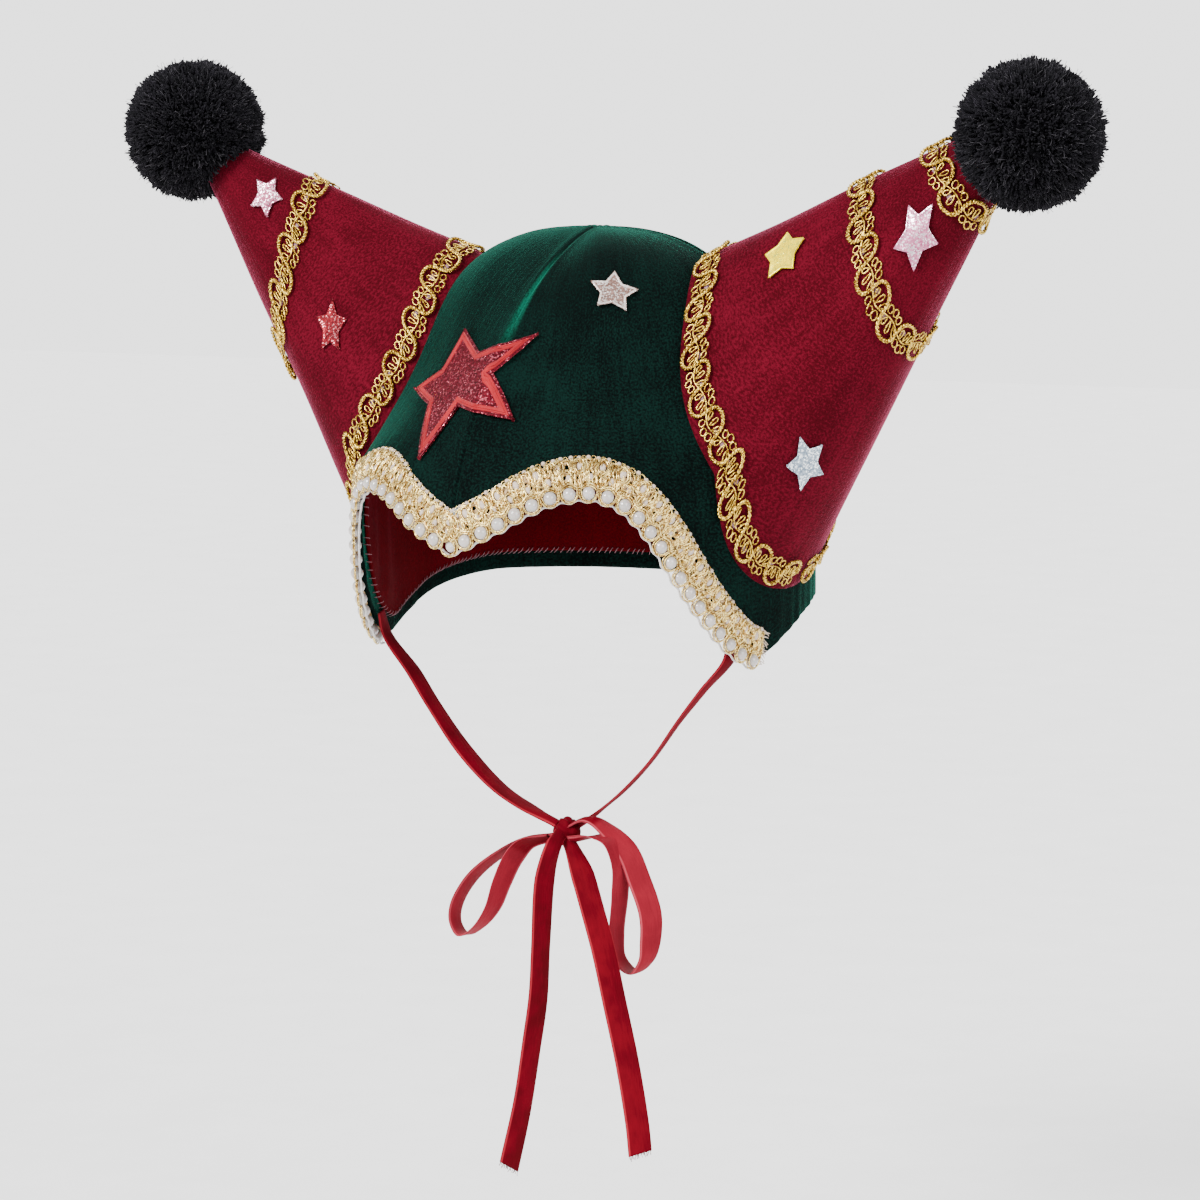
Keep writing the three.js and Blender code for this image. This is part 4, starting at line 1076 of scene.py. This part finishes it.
def build_braids():
    for name, side in SIDES.items():
        table = np.linspace(-np.pi, np.pi, 721)
        margin = (BRAID_HALF_WIDTH + BRAID_SEAM_MARGIN) / slant_length(side, table)
        along_seam = seam_share(side, table) - margin

        def base_share(around, table=table, along_seam=along_seam):
            return np.interp((around + np.pi) % (2 * np.pi) - np.pi, table, along_seam)
        open_end = BRAID_END_GAP / RING_HALF_DEPTH
        track = cone_track(side, base_share, open_end - np.pi, np.pi - open_end)
        scroll_braid(track, f"gimp_base_{name}", f"braid_base_{name}")
        for braid, share, slant in side["braids"]:
            def ring_share(around, share=share, slant=slant):
                return share + slant * np.cos(around)
            open_end = BRAID_END_GAP / (RING_HALF_DEPTH * share)
            track = cone_track(side, ring_share, open_end - np.pi / 2, 1.5 * np.pi - open_end)
            scroll_braid(track, f"gimp_{braid}_{name}", f"braid_{braid}_{name}")


# ---- Brow trim ----

def build_trim():
    end = math.radians(TRIM_END_TURN)
    track = Track(trim_place, -end, end, TRIM_STEPS)
    random = np.random.default_rng(11)
    fine = np.arange(0, track.length, 0.5)

    # The cords carry painted shade: their ivory is darkened as if shaded by the gold loops over them
    cords = Build()
    for level, phase in TRIM_CORDS:
        angle = 2 * np.pi * fine / CORD_WAVE + phase
        cords.wires(track, fine, level + 0.7 * np.sin(angle), 0.7 + 0.3 * np.cos(angle), 0.95)
    cords.piece("brow_cords", finish("ochre_cord"), "gold_crochet", ["brow_band"])

    puffed = Build()
    dots = np.arange(EDGE_PUFF_PITCH / 2, track.length, EDGE_PUFF_PITCH)
    dots = dots + random.uniform(-0.3, 0.3, len(dots))
    places, axes = frames(track, dots, BAND_WIDTH + random.uniform(-0.35, 0.35, len(dots)), 1.25)
    puffed.copies(ball(1.05, 8, 6), places, axes)
    puffs = np.arange(PEARL_PITCH / 2, track.length, PEARL_PITCH)
    puffs = puffs + random.uniform(-0.4, 0.4, len(puffs))
    points, faces = ball(1.0, 10, 8)
    for along, w, shape in TRIM_PUFFS:
        places, axes = frames(track, np.minimum(puffs + along, track.length), w, 1.5)
        puffed.copies((points * shape, faces), places, axes)
    puffed.piece("brow_puffs", finish("ivory"), "gold_crochet")

    # Gold loops that cross over the cords
    loops = Build()
    wiggle = np.cumsum(random.normal(0, 0.05, len(fine)))
    for number, (period, phase, middle, reach, sweep) in enumerate(TRIM_LOOPS):
        angle = 2 * np.pi * (fine + wiggle * (0.5 + 0.2 * number)) / period + phase
        s = np.clip(fine + sweep * np.sin(angle), 0, track.length)
        w = middle + reach * np.cos(angle)
        h = 2.05 + 0.45 * np.sin(angle * 1.5 + number) - 0.25 * np.cos(angle) ** 2
        loops.wires(track, s, w, h, 0.42, 6)
    turn = np.linspace(0, 2 * np.pi, 9, endpoint=False)
    oval = np.linspace(0, 2 * np.pi, 14, endpoint=False)
    for grow in (0.0, 0.7):
        s = puffs[:, None] + (1.75 + grow) * np.cos(oval) + random.uniform(-0.3, 0.3, (len(puffs), 1))
        w = 5.9 + (2.6 + grow) * np.sin(oval)
        loops.wires(track, s, w, 2.5 - grow * 0.6, 0.4, 5, True)
    middle = dots[:-1] + EDGE_PUFF_PITCH / 2
    s = middle[:, None] + 0.95 * np.cos(turn)
    w = 9.2 + 1.05 * np.sin(turn)
    loops.wires(track, s, w, 1.4, 0.28, 4, True)
    loops.piece("brow_gold_loops", finish("gold_crochet"), "gold_crochet")

    # Pearls, with doubled gold threads round each, over a white cord along the bottom edge
    string = Track(lambda turn, w, h: trim_place(turn, w - PEARL_DROP, h + PEARL_PROUD), -end, end, TRIM_STEPS)
    count = round(string.length / PEARL_PITCH)
    span = string.length / count
    k = np.arange(count)
    centres = (k + 0.5) * span
    worn = k != count // 2
    places, axes = frames(string, centres[worn], 0.0, 0.0)
    pearls = Build()
    pearls.copies(ball(PEARL_RADIUS, 20, 12), places, axes)
    pearls.piece("pearls", finish("pearl"), "pearl", ["pearl_string"])

    threads = Build()
    turn = np.radians(np.linspace(140, 400, 17))
    for grow, lift in ((0.0, 0.9), (0.62, 0.3)):
        reach = PEARL_RADIUS + 0.35 + grow
        above = np.maximum(np.sin(turn), 0)
        s = centres[:, None] + reach * np.cos(turn) * (1 + 0.25 * above)
        s = s + random.uniform(-0.15, 0.15, (count, 1))
        w = reach * np.sin(turn) + 3.4 * above
        h = lift + 1.1 * above + 0.5 * random.uniform(-0.3, 0.3, (count, 1))
        threads.wires(string, s, w, h, 0.32)
    threads.piece("pearl_threads", finish("gold_crochet"), "gold_crochet")

    edge = Build()
    along = np.arange(0, string.length, 0.6)
    swing = np.cos(2 * np.pi * along / span)
    edge.wires(string, along, -PEARL_RADIUS - 0.2 + 0.5 * swing, -1.7, 0.5, 6)
    # The cord is bunched where the notch has no pearl
    places, axes = frames(string, centres[~worn], 0.5, -0.9)
    edge.copies((points * [2.3, 2.6, 1.0], faces), places, axes)
    edge.piece("pearl_edge_cord", finish("white_cord"), "pearl")
    over = Build()
    for rise, lift in ((0.0, 0.6), (0.9, 1.2)):
        over.wires(string, along, PEARL_RADIUS - 0.45 + rise - 0.8 * swing, lift, 0.42, 6)
    over.piece("pearl_top_threads", finish("gold_crochet"), "gold_crochet")
    build_frays(track, random)


def build_frays(track, random):
    """Loose fibres at the trim's cut ends, and a wisp of thread in the notch of the brow."""
    frays = Build()
    for end, out in ((0.0, -1), (track.length, 1)):
        count = 26
        root = random.uniform(-5, 10, count)
        t = np.linspace(0, 1, 6)
        reach = random.uniform(1.5, 4.5, (count, 1))
        curl = random.uniform(-1.4, 1.4, (count, 1))
        w, h = root[:, None] + curl * t ** 2, 1.2 + 0.3 * t
        base, ups = track.place(end - out * 0.6, w, h)
        back = track.place(end - out * 1.6, w, h)[0]
        lines = base + unit(base - back) * (t * reach)[..., None]
        lines[..., 2] -= (t ** 2) * reach * 0.25
        frays.tubes(lines, ups, 0.2, 4)
    frays.piece("trim_frays", finish("ivory"), "gold_crochet")
    wisp = Build()
    count = 12
    t = np.linspace(0, 1, 7)
    start = track.length / 2 + random.uniform(-1.6, 1.6, (count, 1))
    s = start + random.uniform(-2, 2, (count, 1)) * t + random.uniform(-0.5, 0.5, (count, 7))
    w = 9 + random.uniform(1.5, 4, (count, 1)) * t
    wisp.wires(track, s, w, 1.2 + random.uniform(0, 1.2, (count, 1)) * np.sin(np.pi * t), 0.13, 3)
    wisp.piece("notch_wisp", finish("lint"), "gold_crochet")


# ---- Stars ----

def star_blank(corners, rings, thickness):
    """A flat star made with Blender's tools, with a thickness under it and edges short enough to bend.

    rings step in from the outline, each as width, rise and the material number of the ring it makes."""
    deselect()
    bpy.ops.mesh.primitive_circle_add(vertices=len(corners), radius=1, fill_type="NGON")
    star = bpy.context.object
    for vertex, (u, v) in zip(star.data.vertices, corners[::-1]):
        vertex.co = (u * MM, v * MM, 0)
    outline = len(corners)
    bpy.ops.object.mode_set(mode="EDIT")
    bpy.ops.mesh.select_mode(type="FACE")
    bpy.ops.mesh.select_all(action="SELECT")
    for width, rise, number in rings:
        for face in bmesh.from_edit_mesh(star.data).faces:
            if face.select:
                face.material_index = number
        bpy.ops.mesh.inset(thickness=width * MM, depth=rise * MM)
    for face in bmesh.from_edit_mesh(star.data).faces:
        if face.select:
            face.material_index = 0
    bpy.ops.mesh.select_mode(type="VERT")
    mesh = bmesh.from_edit_mesh(star.data)
    mesh.verts.ensure_lookup_table()
    for vertex in mesh.verts:
        vertex.select_set(vertex.index < outline)
    mesh.select_flush(False)
    bpy.ops.mesh.bevel(offset=0.3 * MM, segments=2, affect="VERTICES")
    bpy.ops.mesh.select_all(action="SELECT")
    bpy.ops.mesh.quads_convert_to_tris()
    for _ in range(5):
        mesh = bmesh.from_edit_mesh(star.data)
        long = [edge for edge in mesh.edges if edge.calc_length() > STAR_LONGEST_EDGE * MM]
        if not long:
            break
        bpy.ops.mesh.select_all(action="DESELECT")
        for edge in long:
            edge.select_set(True)
        bmesh.update_edit_mesh(star.data)
        bpy.ops.mesh.subdivide(number_cuts=1)
        bpy.ops.mesh.select_all(action="SELECT")
        bpy.ops.mesh.quads_convert_to_tris()
    bpy.ops.object.mode_set(mode="OBJECT")
    wall = star.modifiers.new("wall", "SOLIDIFY")
    wall.thickness = thickness * MM
    wall.offset = -1
    wall.material_offset = 2
    wall.material_offset_rim = 2
    bpy.ops.object.modifier_apply(modifier=wall.name)
    return star


def lay_star(star, name, place, material, node):
    """Bends a flat star onto a surface."""
    points = np.array([v.co for v in star.data.vertices]) / MM
    laid = place(points[:, 0], points[:, 1], TRIM_GAP - points[:, 2].min() + points[:, 2]) * MM
    star.data.vertices.foreach_set("co", laid.astype(np.float32).ravel())
    star.data.update()
    star.name = name
    star.data.name = name
    deselect()
    star.select_set(True)
    bpy.context.view_layer.objects.active = star
    bpy.ops.object.shade_smooth_by_angle(angle=math.radians(35))
    return dress(star, material, [node])


def regular_star(reach, spin, inner=STAR_INNER_SHARE):
    bearings = np.radians(spin + 36 * np.arange(10))
    size = np.where(np.arange(10) % 2, reach * inner, reach)
    return list(zip(size * np.sin(bearings), size * np.cos(bearings)))


def crown_star_place(turn, height):
    turn = np.float64(math.radians(turn))
    level = level_at_height(turn, np.float64(height))
    centre = crown_point(turn, level)
    out = np.array([math.sin(turn), -math.cos(turn), 0])
    across = unit(np.cross(UP, out))
    rise = unit(np.cross(crown_normal(turn, level), across))

    def place(u, v, proud):
        return onto_crown(centre + across * u[:, None] + rise * v[:, None], proud)[0]
    return place


def cone_star_place(side, share, around):
    around = math.radians(around)
    line = slant_length(side, np.float64(around))

    def place(u, v, proud):
        at = share - v / line
        step = 1e-3
        speed = np.linalg.norm(cone_point(side, at, around + step) - cone_point(side, at, around), axis=-1)
        return cone_at(side, at, around - side["out"] * u * step / speed, proud)[0]
    return place


def build_stars():
    for name, side in SIDES.items():
        for star, share, around, reach, spin in side["stars"]:
            inner = YELLOW_INNER_SHARE if star == "yellow" else STAR_INNER_SHARE
            blank = star_blank(regular_star(reach, spin, inner), SMALL_STAR_RINGS, STAR_THICKNESS)
            place = cone_star_place(side, share, around)
            finishes = [finish(f"star_{star}"), finish(f"star_{star}"), finish("card_edge")]
            lay_star(blank, f"glitter_star_{star}", place, finishes, f"star_{star}")
    blank = star_blank(regular_star(ROSE_GOLD_REACH, ROSE_GOLD_SPIN), SMALL_STAR_RINGS, STAR_THICKNESS)
    finishes = [finish("star_rose_gold"), finish("star_rim"), finish("card_edge")]
    place = crown_star_place(ROSE_GOLD_TURN, -ROSE_GOLD_DROP)
    lay_star(blank, "glitter_star_rose_gold", place, finishes, "star_rose_gold")
    corners = []
    for bearing, share in BIG_STAR_TABLE:
        angle = math.radians(bearing)
        corners.append((BIG_STAR_REACH * share * math.sin(angle), BIG_STAR_REACH * share * math.cos(angle)))
    blank = star_blank(corners, BIG_STAR_RINGS, BIG_STAR_THICKNESS)
    finishes = [finish("ruby_glitter"), finish("coral_satin"), finish("foam")]
    place = crown_star_place(BIG_STAR_TURN, -BIG_STAR_DROP)
    lay_star(blank, "brow_star", place, finishes, "star_brow")


# ---- Pompoms ----

def build_pompom(name):
    """A ball of cut yarn: tapered strands gathered in tufts round a dark heart."""
    side = SIDES[name]
    sizes = bpy.context.scene.hat_sizes
    random = np.random.default_rng(3 if name == "left" else 4)
    centre = np.array([side["out"] * (CONE_REACH - POMPOM_INSET), 0, POMPOM_RISE], float)
    i = np.arange(POMPOM_TUFTS) + 0.5
    height = 1 - 2 * i / POMPOM_TUFTS
    turn = np.pi * (1 + 5 ** 0.5) * i
    flat = np.sqrt(1 - height ** 2)
    tuft = np.stack([flat * np.cos(turn), flat * np.sin(turn), height], -1)
    tuft = unit(tuft + random.normal(0, 0.035, tuft.shape))
    which = np.repeat(np.arange(POMPOM_TUFTS), max(4, sizes.pompom_strands // POMPOM_TUFTS))
    count = len(which)
    root = unit(tuft[which] + random.normal(0, 0.12, (count, 3)))
    tip = unit(tuft[which] + random.normal(0, 0.055, (count, 3)))
    reach = POMPOM_RADIUS - 0.6 + random.normal(0, 0.6, POMPOM_TUFTS)[which] + random.normal(0, 0.6, count)
    along = np.array([0.6, 0.84, 0.985, 1.0])
    drift = random.normal(0, 0.5, (count, 3))
    lines = []
    for a in along:
        way = unit(root * (1 - a ** 2) + tip * a ** 2)
        lines.append(centre + way * (reach * a)[:, None] + drift * math.sin(a * 3))
    inside = inside_cone(side, lines[-1]) | inside_cone(side, lines[1])
    lines = [line[~inside] for line in lines]
    tip = tip[~inside]
    count = len(tip)
    across = unit(np.cross(tip, UP + 0.01))
    beside = np.cross(tip, across)
    spin = random.uniform(0, 2 * np.pi, count)
    rings = []
    for line, radius in zip(lines[:3], (0.42, 0.46, 0.44)):
        for corner in range(3):
            a = (spin + corner * 2 * np.pi / 3)[:, None]
            rings.append(line + radius * (across * np.cos(a) + beside * np.sin(a)))
    rings.append(lines[3])
    points = np.stack(rings, 1)
    sides = [(r + c, r + (c + 1) % 3, r + 3 + (c + 1) % 3, r + 3 + c) for r in (0, 3) for c in range(3)]
    point = [(6 + c, 6 + (c + 1) % 3, 9) for c in range(3)]
    build = Build()
    build.shape(points.reshape(-1, 3), repeated([sides, point, [(2, 1, 0)]], count, 10))
    heart, faces = ball(POMPOM_RADIUS - POMPOM_HEART, 32, 20)
    heart = heart + centre
    hidden = inside_cone(side, heart)
    heart[hidden] = heart[hidden] * 0.7 + centre * 0.3
    build.shape(heart, faces)
    build.piece(f"yarn_pompom_{name}", finish("black_yarn"), "black_yarn", [f"pompom_{name}"])
    stray = Build()
    t = np.linspace(0, 1, 6)
    out = unit(random.normal(0, 1, (STRAY_FIBRES, 3)))
    drift = unit(np.cross(out, random.normal(0, 1, (STRAY_FIBRES, 3))))
    bend = random.uniform(-2.6, 2.6, (STRAY_FIBRES, 1))
    reach = POMPOM_RADIUS - 3 + t * random.uniform(3.2, 5.4, (STRAY_FIBRES, 1))
    lines = centre + out[:, None] * reach[..., None] + drift[:, None] * (bend * t ** 2)[..., None]
    lines = lines[~inside_cone(side, centre + out * POMPOM_RADIUS)]
    stray.tubes(lines, np.array([0.3, 0.4, 0.86]), 0.09, 3)
    stray.piece(f"yarn_fibres_{name}", finish("yarn_fibre"), "black_yarn")


# ---- Ribbons and knot ----

def curve_through(points, at):
    """A smooth curve through points, read at places counted in points."""
    points = np.asarray(points, float)
    ends = [2 * points[0] - points[1], 2 * points[-1] - points[-2]]
    run = np.concatenate([ends[:1], points, ends[1:]])
    gaps = np.linalg.norm(np.diff(run, axis=0), axis=1) ** 0.5
    i = np.clip(np.floor(at).astype(int), 0, len(points) - 2)
    t = (at - i)[:, None]
    a, b, c, d = (run[i + k] for k in range(4))
    before, here, after = (gaps[i + k][:, None] for k in range(3))
    start = ((b - a) / before - (c - a) / (before + here) + (c - b) / here) * here
    end = ((c - b) / here - (d - b) / (here + after) + (d - c) / after) * here
    square, cube = -3 * b + 3 * c - 2 * start - end, 2 * b - 2 * c + start + end
    return b + start * t + square * t ** 2 + cube * t ** 3


def ribbon(name, rows, material, node, slant=0.0):
    """A ribbon along its route, turned by its twist, narrower at the knot, with rounded edges."""
    rows = np.array(rows, float)
    last = len(rows) - 1
    coarse = np.linspace(0, last, 2 * last + 1)
    nudge = 1e-3
    run = unit(curve_through(rows[:, :3], np.minimum(coarse + nudge, last))
               - curve_through(rows[:, :3], np.maximum(coarse - nudge, 0)))
    twist = np.radians(np.interp(coarse, np.arange(last + 1), rows[:, 3]))[:, None]
    edge_on = unit(np.array([0, 1, 0]) - run * run[:, 1:2])
    facing = np.cross(run, edge_on) * np.where(run[:, 2:] > 0, 1, -1)
    across = edge_on * np.cos(twist) + facing * np.sin(twist)
    fine = np.linspace(0, last, 14 * last + 1)
    centre = curve_through(rows[:, :3], fine)
    run = unit(np.gradient(centre, axis=0))
    width_way = np.stack([np.interp(fine, coarse, across[:, c]) for c in range(3)], -1)
    for _ in range(6):
        width_way[1:-1] = (width_way[:-2] + 2 * width_way[1:-1] + width_way[2:]) / 4
    width_way = unit(width_way - run * (width_way * run).sum(-1, keepdims=True))
    face = np.cross(run, width_way)
    spread = smooth(KNOT_HALF[0], 4 * KNOT_HALF[0], np.linalg.norm(centre - KNOT_PLACE, axis=-1))
    half = RIBBON_WIDTH / 2 * (RIBBON_GATHER + (1 - RIBBON_GATHER) * spread)
    length = np.concatenate([[0], np.cumsum(np.linalg.norm(np.diff(centre, axis=0), axis=1))])
    turn = 2 * np.pi * np.arange(24) / 24
    flat = np.sign(np.cos(turn)) * np.abs(np.cos(turn)) ** 0.55
    thick = np.sign(np.sin(turn)) * np.abs(np.sin(turn)) ** 0.8 * RIBBON_THICKNESS / 2
    cup = (1 - flat ** 2) * (0.35 + 1.6 * (1 - spread))[:, None]
    ripple = RIBBON_WAVE * np.sin(length / 9 + len(name))[:, None] * flat * (0.3 + 0.7 * spread[:, None])
    rings = centre[:, None] + width_way[:, None] * (half[:, None] * flat)[..., None] + face[:, None] * (
        cup + ripple * 0.35 + thick)[..., None]
    ends = smooth(length[-1] - 6, length[-1], length)[:, None] * flat * slant
    rings = rings + run[:, None] * ends[..., None]
    marks = np.zeros(rings.shape[:1] + (25, 2))
    marks[..., 0] = np.append(flat, flat[0]) * RIBBON_WIDTH / 2 * MM
    marks[..., 1] = np.minimum(length, length[-1] - length)[:, None] * MM
    build = Build()
    build.grid(rings[:, ::-1], closed=True, marks=marks[:, ::-1], caps=(True, True))
    if slant:
        random = np.random.default_rng(len(name))
        share = random.uniform(-0.95, 0.95, (30, 1))
        base = centre[-1] + width_way[-1] * half[-1] * share + run[-1] * slant * share
        t = np.linspace(0, 1, 5)[:, None]
        reach = random.uniform(0.6, 2.2, (30, 1, 1))
        drift = random.uniform(-0.9, 0.9, (30, 1, 1)) * width_way[-1]
        drift = drift + random.uniform(-0.5, 0.5, (30, 1, 1)) * face[-1]
        build.tubes(base[:, None] + run[-1] * t * reach + drift * t ** 2, face[-1], 0.1, 3)
    piece = build.piece(name, material, "red_ribbon", [node])


def strap_rows(name):
    """A chin strap starts inside its ear flap, below the lining's edge."""
    out = SIDES[name]["out"]
    turn = np.float64(out * math.radians(STRAP_TURN))
    level = level_at_height(turn, rim_height(turn) + STRAP_RISE)
    depth = VELVET_WALL + TRIM_GAP + RIBBON_THICKNESS / 2
    start = crown_point(turn, level) - crown_normal(turn, level) * depth
    along = crown_point(turn + out * 0.01, level) - crown_point(turn, level)
    twist = math.degrees(math.atan2(-along[0], along[1]))
    way = start[0] - KNOT_PLACE[0]
    return [(*start, twist), *((KNOT_PLACE[0] + way * share, *rest) for share, *rest in STRAPS[name])]


def build_ties():
    for name in SIDES:
        strap, loop, tail = (f"{part}_{name}" for part in ("strap", "bow_loop", "ribbon_tail"))
        ribbon(f"velvet_strap_{name}", strap_rows(name), finish("ribbon_dark"), strap)
        ribbon(f"bow_ribbon_{name}", RIBBONS[loop], finish("ribbon_coral"), loop)
        ribbon(f"tail_ribbon_{name}", RIBBONS[tail], finish("ribbon_dark"), tail, TAIL_SLANTS[name])
    points, faces = ball(1, 40, 28)
    x, y, z = points.T
    fold = 1 + 0.09 * np.sin(9 * np.arctan2(y, z) + 5 * x) * (1 - x ** 2)
    wrap = 1 - 0.3 * smooth(0.36, 0.5, np.abs(x)) + 0.16 * smooth(0.5, 0.8, np.abs(x))
    shaped = np.stack([x, y * fold * wrap, z * fold * wrap], -1) * KNOT_HALF * [1.05, 1.1, 1.0] + KNOT_PLACE
    build = Build()
    build.shape(shaped, faces)
    build.piece("ribbon_knot", finish("ribbon_dark"), "red_ribbon", ["knot"])


# ---- Stage ----

def build_stage():
    camera = bpy.data.cameras.new("camera")
    camera.lens = CAMERA_LENS
    eye = bpy.data.objects.new("camera", camera)
    eye.location = CAMERA_PLACE
    eye.rotation_euler = [math.radians(a) for a in CAMERA_TURN]
    bpy.context.scene.collection.objects.link(eye)
    bpy.context.scene.camera = eye

    deselect()
    bpy.ops.mesh.primitive_plane_add(size=FLOOR_SIZE, location=(0, 0, -FLOOR_DROP))
    floor = bpy.context.object
    floor.name = "studio_floor"
    floor.data.materials.append(finish("paper"))

    world = bpy.data.worlds.new("studio")
    bpy.context.scene.world = world
    world.use_nodes = True
    background = world.node_tree.nodes["Background"]
    background.inputs["Color"].default_value = (1, 1, 1, 1)
    # The backdrop is seen brighter than the light it throws on the hat
    ray = world.node_tree.nodes.new("ShaderNodeLightPath")
    level = world.node_tree.nodes.new("ShaderNodeMapRange")
    level.inputs["To Min"].default_value = WORLD_LIGHT
    level.inputs["To Max"].default_value = BACKDROP_LIGHT
    world.node_tree.links.new(ray.outputs["Is Camera Ray"], level.inputs["Value"])
    world.node_tree.links.new(level.outputs["Result"], background.inputs["Strength"])

    for name, place, strength, width in LAMPS:
        light = bpy.data.lights.new(name, "SUN")
        light.energy = strength
        light.angle = math.radians(width)
        lamp = bpy.data.objects.new(name, light)
        lamp.rotation_euler = Vector(place).to_track_quat("Z", "Y").to_euler()
        bpy.context.scene.collection.objects.link(lamp)


# ---- Panel, operators and their settings ----

def colour(name, description, default):
    return bpy.props.FloatVectorProperty(
        name=name, description=description, default=default, subtype="COLOR", size=3, min=0, max=1)


class HatColours(bpy.types.PropertyGroup):
    green_deep: colour("Green, in shade", "Crown velvet seen straight on", (0.0009, 0.0019, 0.0018))
    green_lit: colour("Green, brushed", "Crown velvet where its pile is lit", (0.0022, 0.0125, 0.0095))
    green_sheen: colour("Green sheen", "Edge brightness of the crown velvet", (0.025, 0.3, 0.2))
    # Painted highlight laid along the upper part of the brow seam
    green_seam_highlight: colour("Green streak", "Pile brushed up beside the brow seam", (0.002, 0.11, 0.065))
    burgundy_deep: colour("Burgundy, in shade", "Cone velvet seen straight on", (0.037, 0.0011, 0.0033))
    burgundy_lit: colour("Burgundy, brushed", "Cone velvet where its pile is lit", (0.094, 0.003, 0.0105))
    burgundy_sheen: colour("Burgundy sheen", "Edge brightness of the cone velvet", (0.95, 0.2, 0.36))
    lining: colour("Lining", "Cloth inside the crown", (0.075, 0.0006, 0.003))
    gold_light: colour("Gold, bright", "Bright turns of the metal thread", (0.95, 0.66, 0.11))
    gold_dark: colour("Gold, deep", "Deep turns of the metal thread", (0.19, 0.085, 0.006))
    crochet_light: colour("Crochet, bright", "Bright turns of the brow band's thread", (1.0, 0.79, 0.3))
    crochet_dark: colour("Crochet, deep", "Deep turns of the brow band's thread", (0.34, 0.18, 0.04))
    ivory: colour("Ivory thread", "Puffs between the gold loops, and frayed ends", (0.6, 0.48, 0.39))
    pearl: colour("Pearl", "Bead colour", (0.38, 0.35, 0.325))
    yarn_light: colour("Yarn, tips", "Pale flecks of the pompom yarn", (0.009, 0.008, 0.011))
    yarn_dark: colour("Yarn", "Pompom yarn", (0.0022, 0.0022, 0.003))
    coral: colour("Coral satin", "Border of the brow star", (0.36, 0.011, 0.018))
    ribbon_coral: colour("Ribbon, plain side", "Bow loops", (0.21, 0.009, 0.019))
    ribbon_sheen: colour("Ribbon sheen", "Edge brightness of the ribbon", (0.4, 0.04, 0.07))
    ribbon_dark: colour("Ribbon, velvet side", "Straps and tails", (0.11, 0.0016, 0.006))


class HatSizes(bpy.types.PropertyGroup):
    pompom_strands: bpy.props.IntProperty(
        name="Pompom strands", description="Yarn strands in each pompom", default=11520, min=640, max=12000)


class HatOperator:
    bl_options = {"REGISTER", "UNDO"}

    def execute(self, context):
        self.build()
        return {"FINISHED"}


class HAT_OT_crown(HatOperator, bpy.types.Operator):
    """Build the green velvet crown"""
    bl_idname = "hat.crown"
    bl_label = "Crown"
    build = staticmethod(build_crown)


class HAT_OT_lining(HatOperator, bpy.types.Operator):
    """Build the lining and the stitches that hold it to the hem"""
    bl_idname = "hat.lining"
    bl_label = "Lining"
    build = staticmethod(build_lining)


class HAT_OT_cones(HatOperator, bpy.types.Operator):
    """Build the two burgundy velvet cones"""
    bl_idname = "hat.cones"
    bl_label = "Cones"

    def build(self):
        for name in SIDES:
            build_cone(name)


class HAT_OT_braids(HatOperator, bpy.types.Operator):
    """Build the gold scroll braids"""
    bl_idname = "hat.braids"
    bl_label = "Braids"
    build = staticmethod(build_braids)


class HAT_OT_trim(HatOperator, bpy.types.Operator):
    """Build the brow trim: cords, gold loops and pearls"""
    bl_idname = "hat.trim"
    bl_label = "Brow trim"
    build = staticmethod(build_trim)


class HAT_OT_stars(HatOperator, bpy.types.Operator):
    """Build the stars"""
    bl_idname = "hat.stars"
    bl_label = "Stars"
    build = staticmethod(build_stars)


class HAT_OT_pompoms(HatOperator, bpy.types.Operator):
    """Build the two yarn pompoms"""
    bl_idname = "hat.pompoms"
    bl_label = "Pompoms"

    def build(self):
        for name in SIDES:
            build_pompom(name)


class HAT_OT_ties(HatOperator, bpy.types.Operator):
    """Build the chin straps, the bow and its tails"""
    bl_idname = "hat.ties"
    bl_label = "Ribbon ties"
    build = staticmethod(build_ties)


class HAT_OT_stage(HatOperator, bpy.types.Operator):
    """Set up the camera, the floor and the lights"""
    bl_idname = "hat.stage"
    bl_label = "Stage"
    build = staticmethod(build_stage)


OPERATORS = (HAT_OT_stage, HAT_OT_crown, HAT_OT_lining, HAT_OT_cones, HAT_OT_braids, HAT_OT_trim,
             HAT_OT_stars, HAT_OT_pompoms, HAT_OT_ties)


class HAT_PT_panel(bpy.types.Panel):
    """Builds the hat's pieces, with their sizes and colours"""
    bl_idname = "HAT_PT_panel"
    bl_label = "Jester hat"
    bl_space_type = "VIEW_3D"
    bl_region_type = "UI"
    bl_category = "Hat"

    def draw(self, context):
        for operator in OPERATORS:
            self.layout.operator(operator.bl_idname)
        for group in (context.scene.hat_sizes, context.scene.hat_colours):
            for name in group.bl_rna.properties.keys():
                if name not in ("rna_type", "name"):
                    self.layout.prop(group, name)


CLASSES = (HatColours, HatSizes, *OPERATORS, HAT_PT_panel)


def register():
    for cls in CLASSES:
        bpy.utils.register_class(cls)
    bpy.types.Scene.hat_colours = bpy.props.PointerProperty(type=HatColours)
    bpy.types.Scene.hat_sizes = bpy.props.PointerProperty(type=HatSizes)


def unregister():
    del bpy.types.Scene.hat_sizes
    del bpy.types.Scene.hat_colours
    for cls in reversed(CLASSES):
        bpy.utils.unregister_class(cls)


def main():
    register()
    bpy.ops.hat.stage()
    bpy.ops.hat.crown()
    bpy.ops.hat.lining()
    bpy.ops.hat.cones()
    bpy.ops.hat.braids()
    bpy.ops.hat.trim()
    bpy.ops.hat.stars()
    bpy.ops.hat.pompoms()
    bpy.ops.hat.ties()


if __name__ == "__main__":
    main()
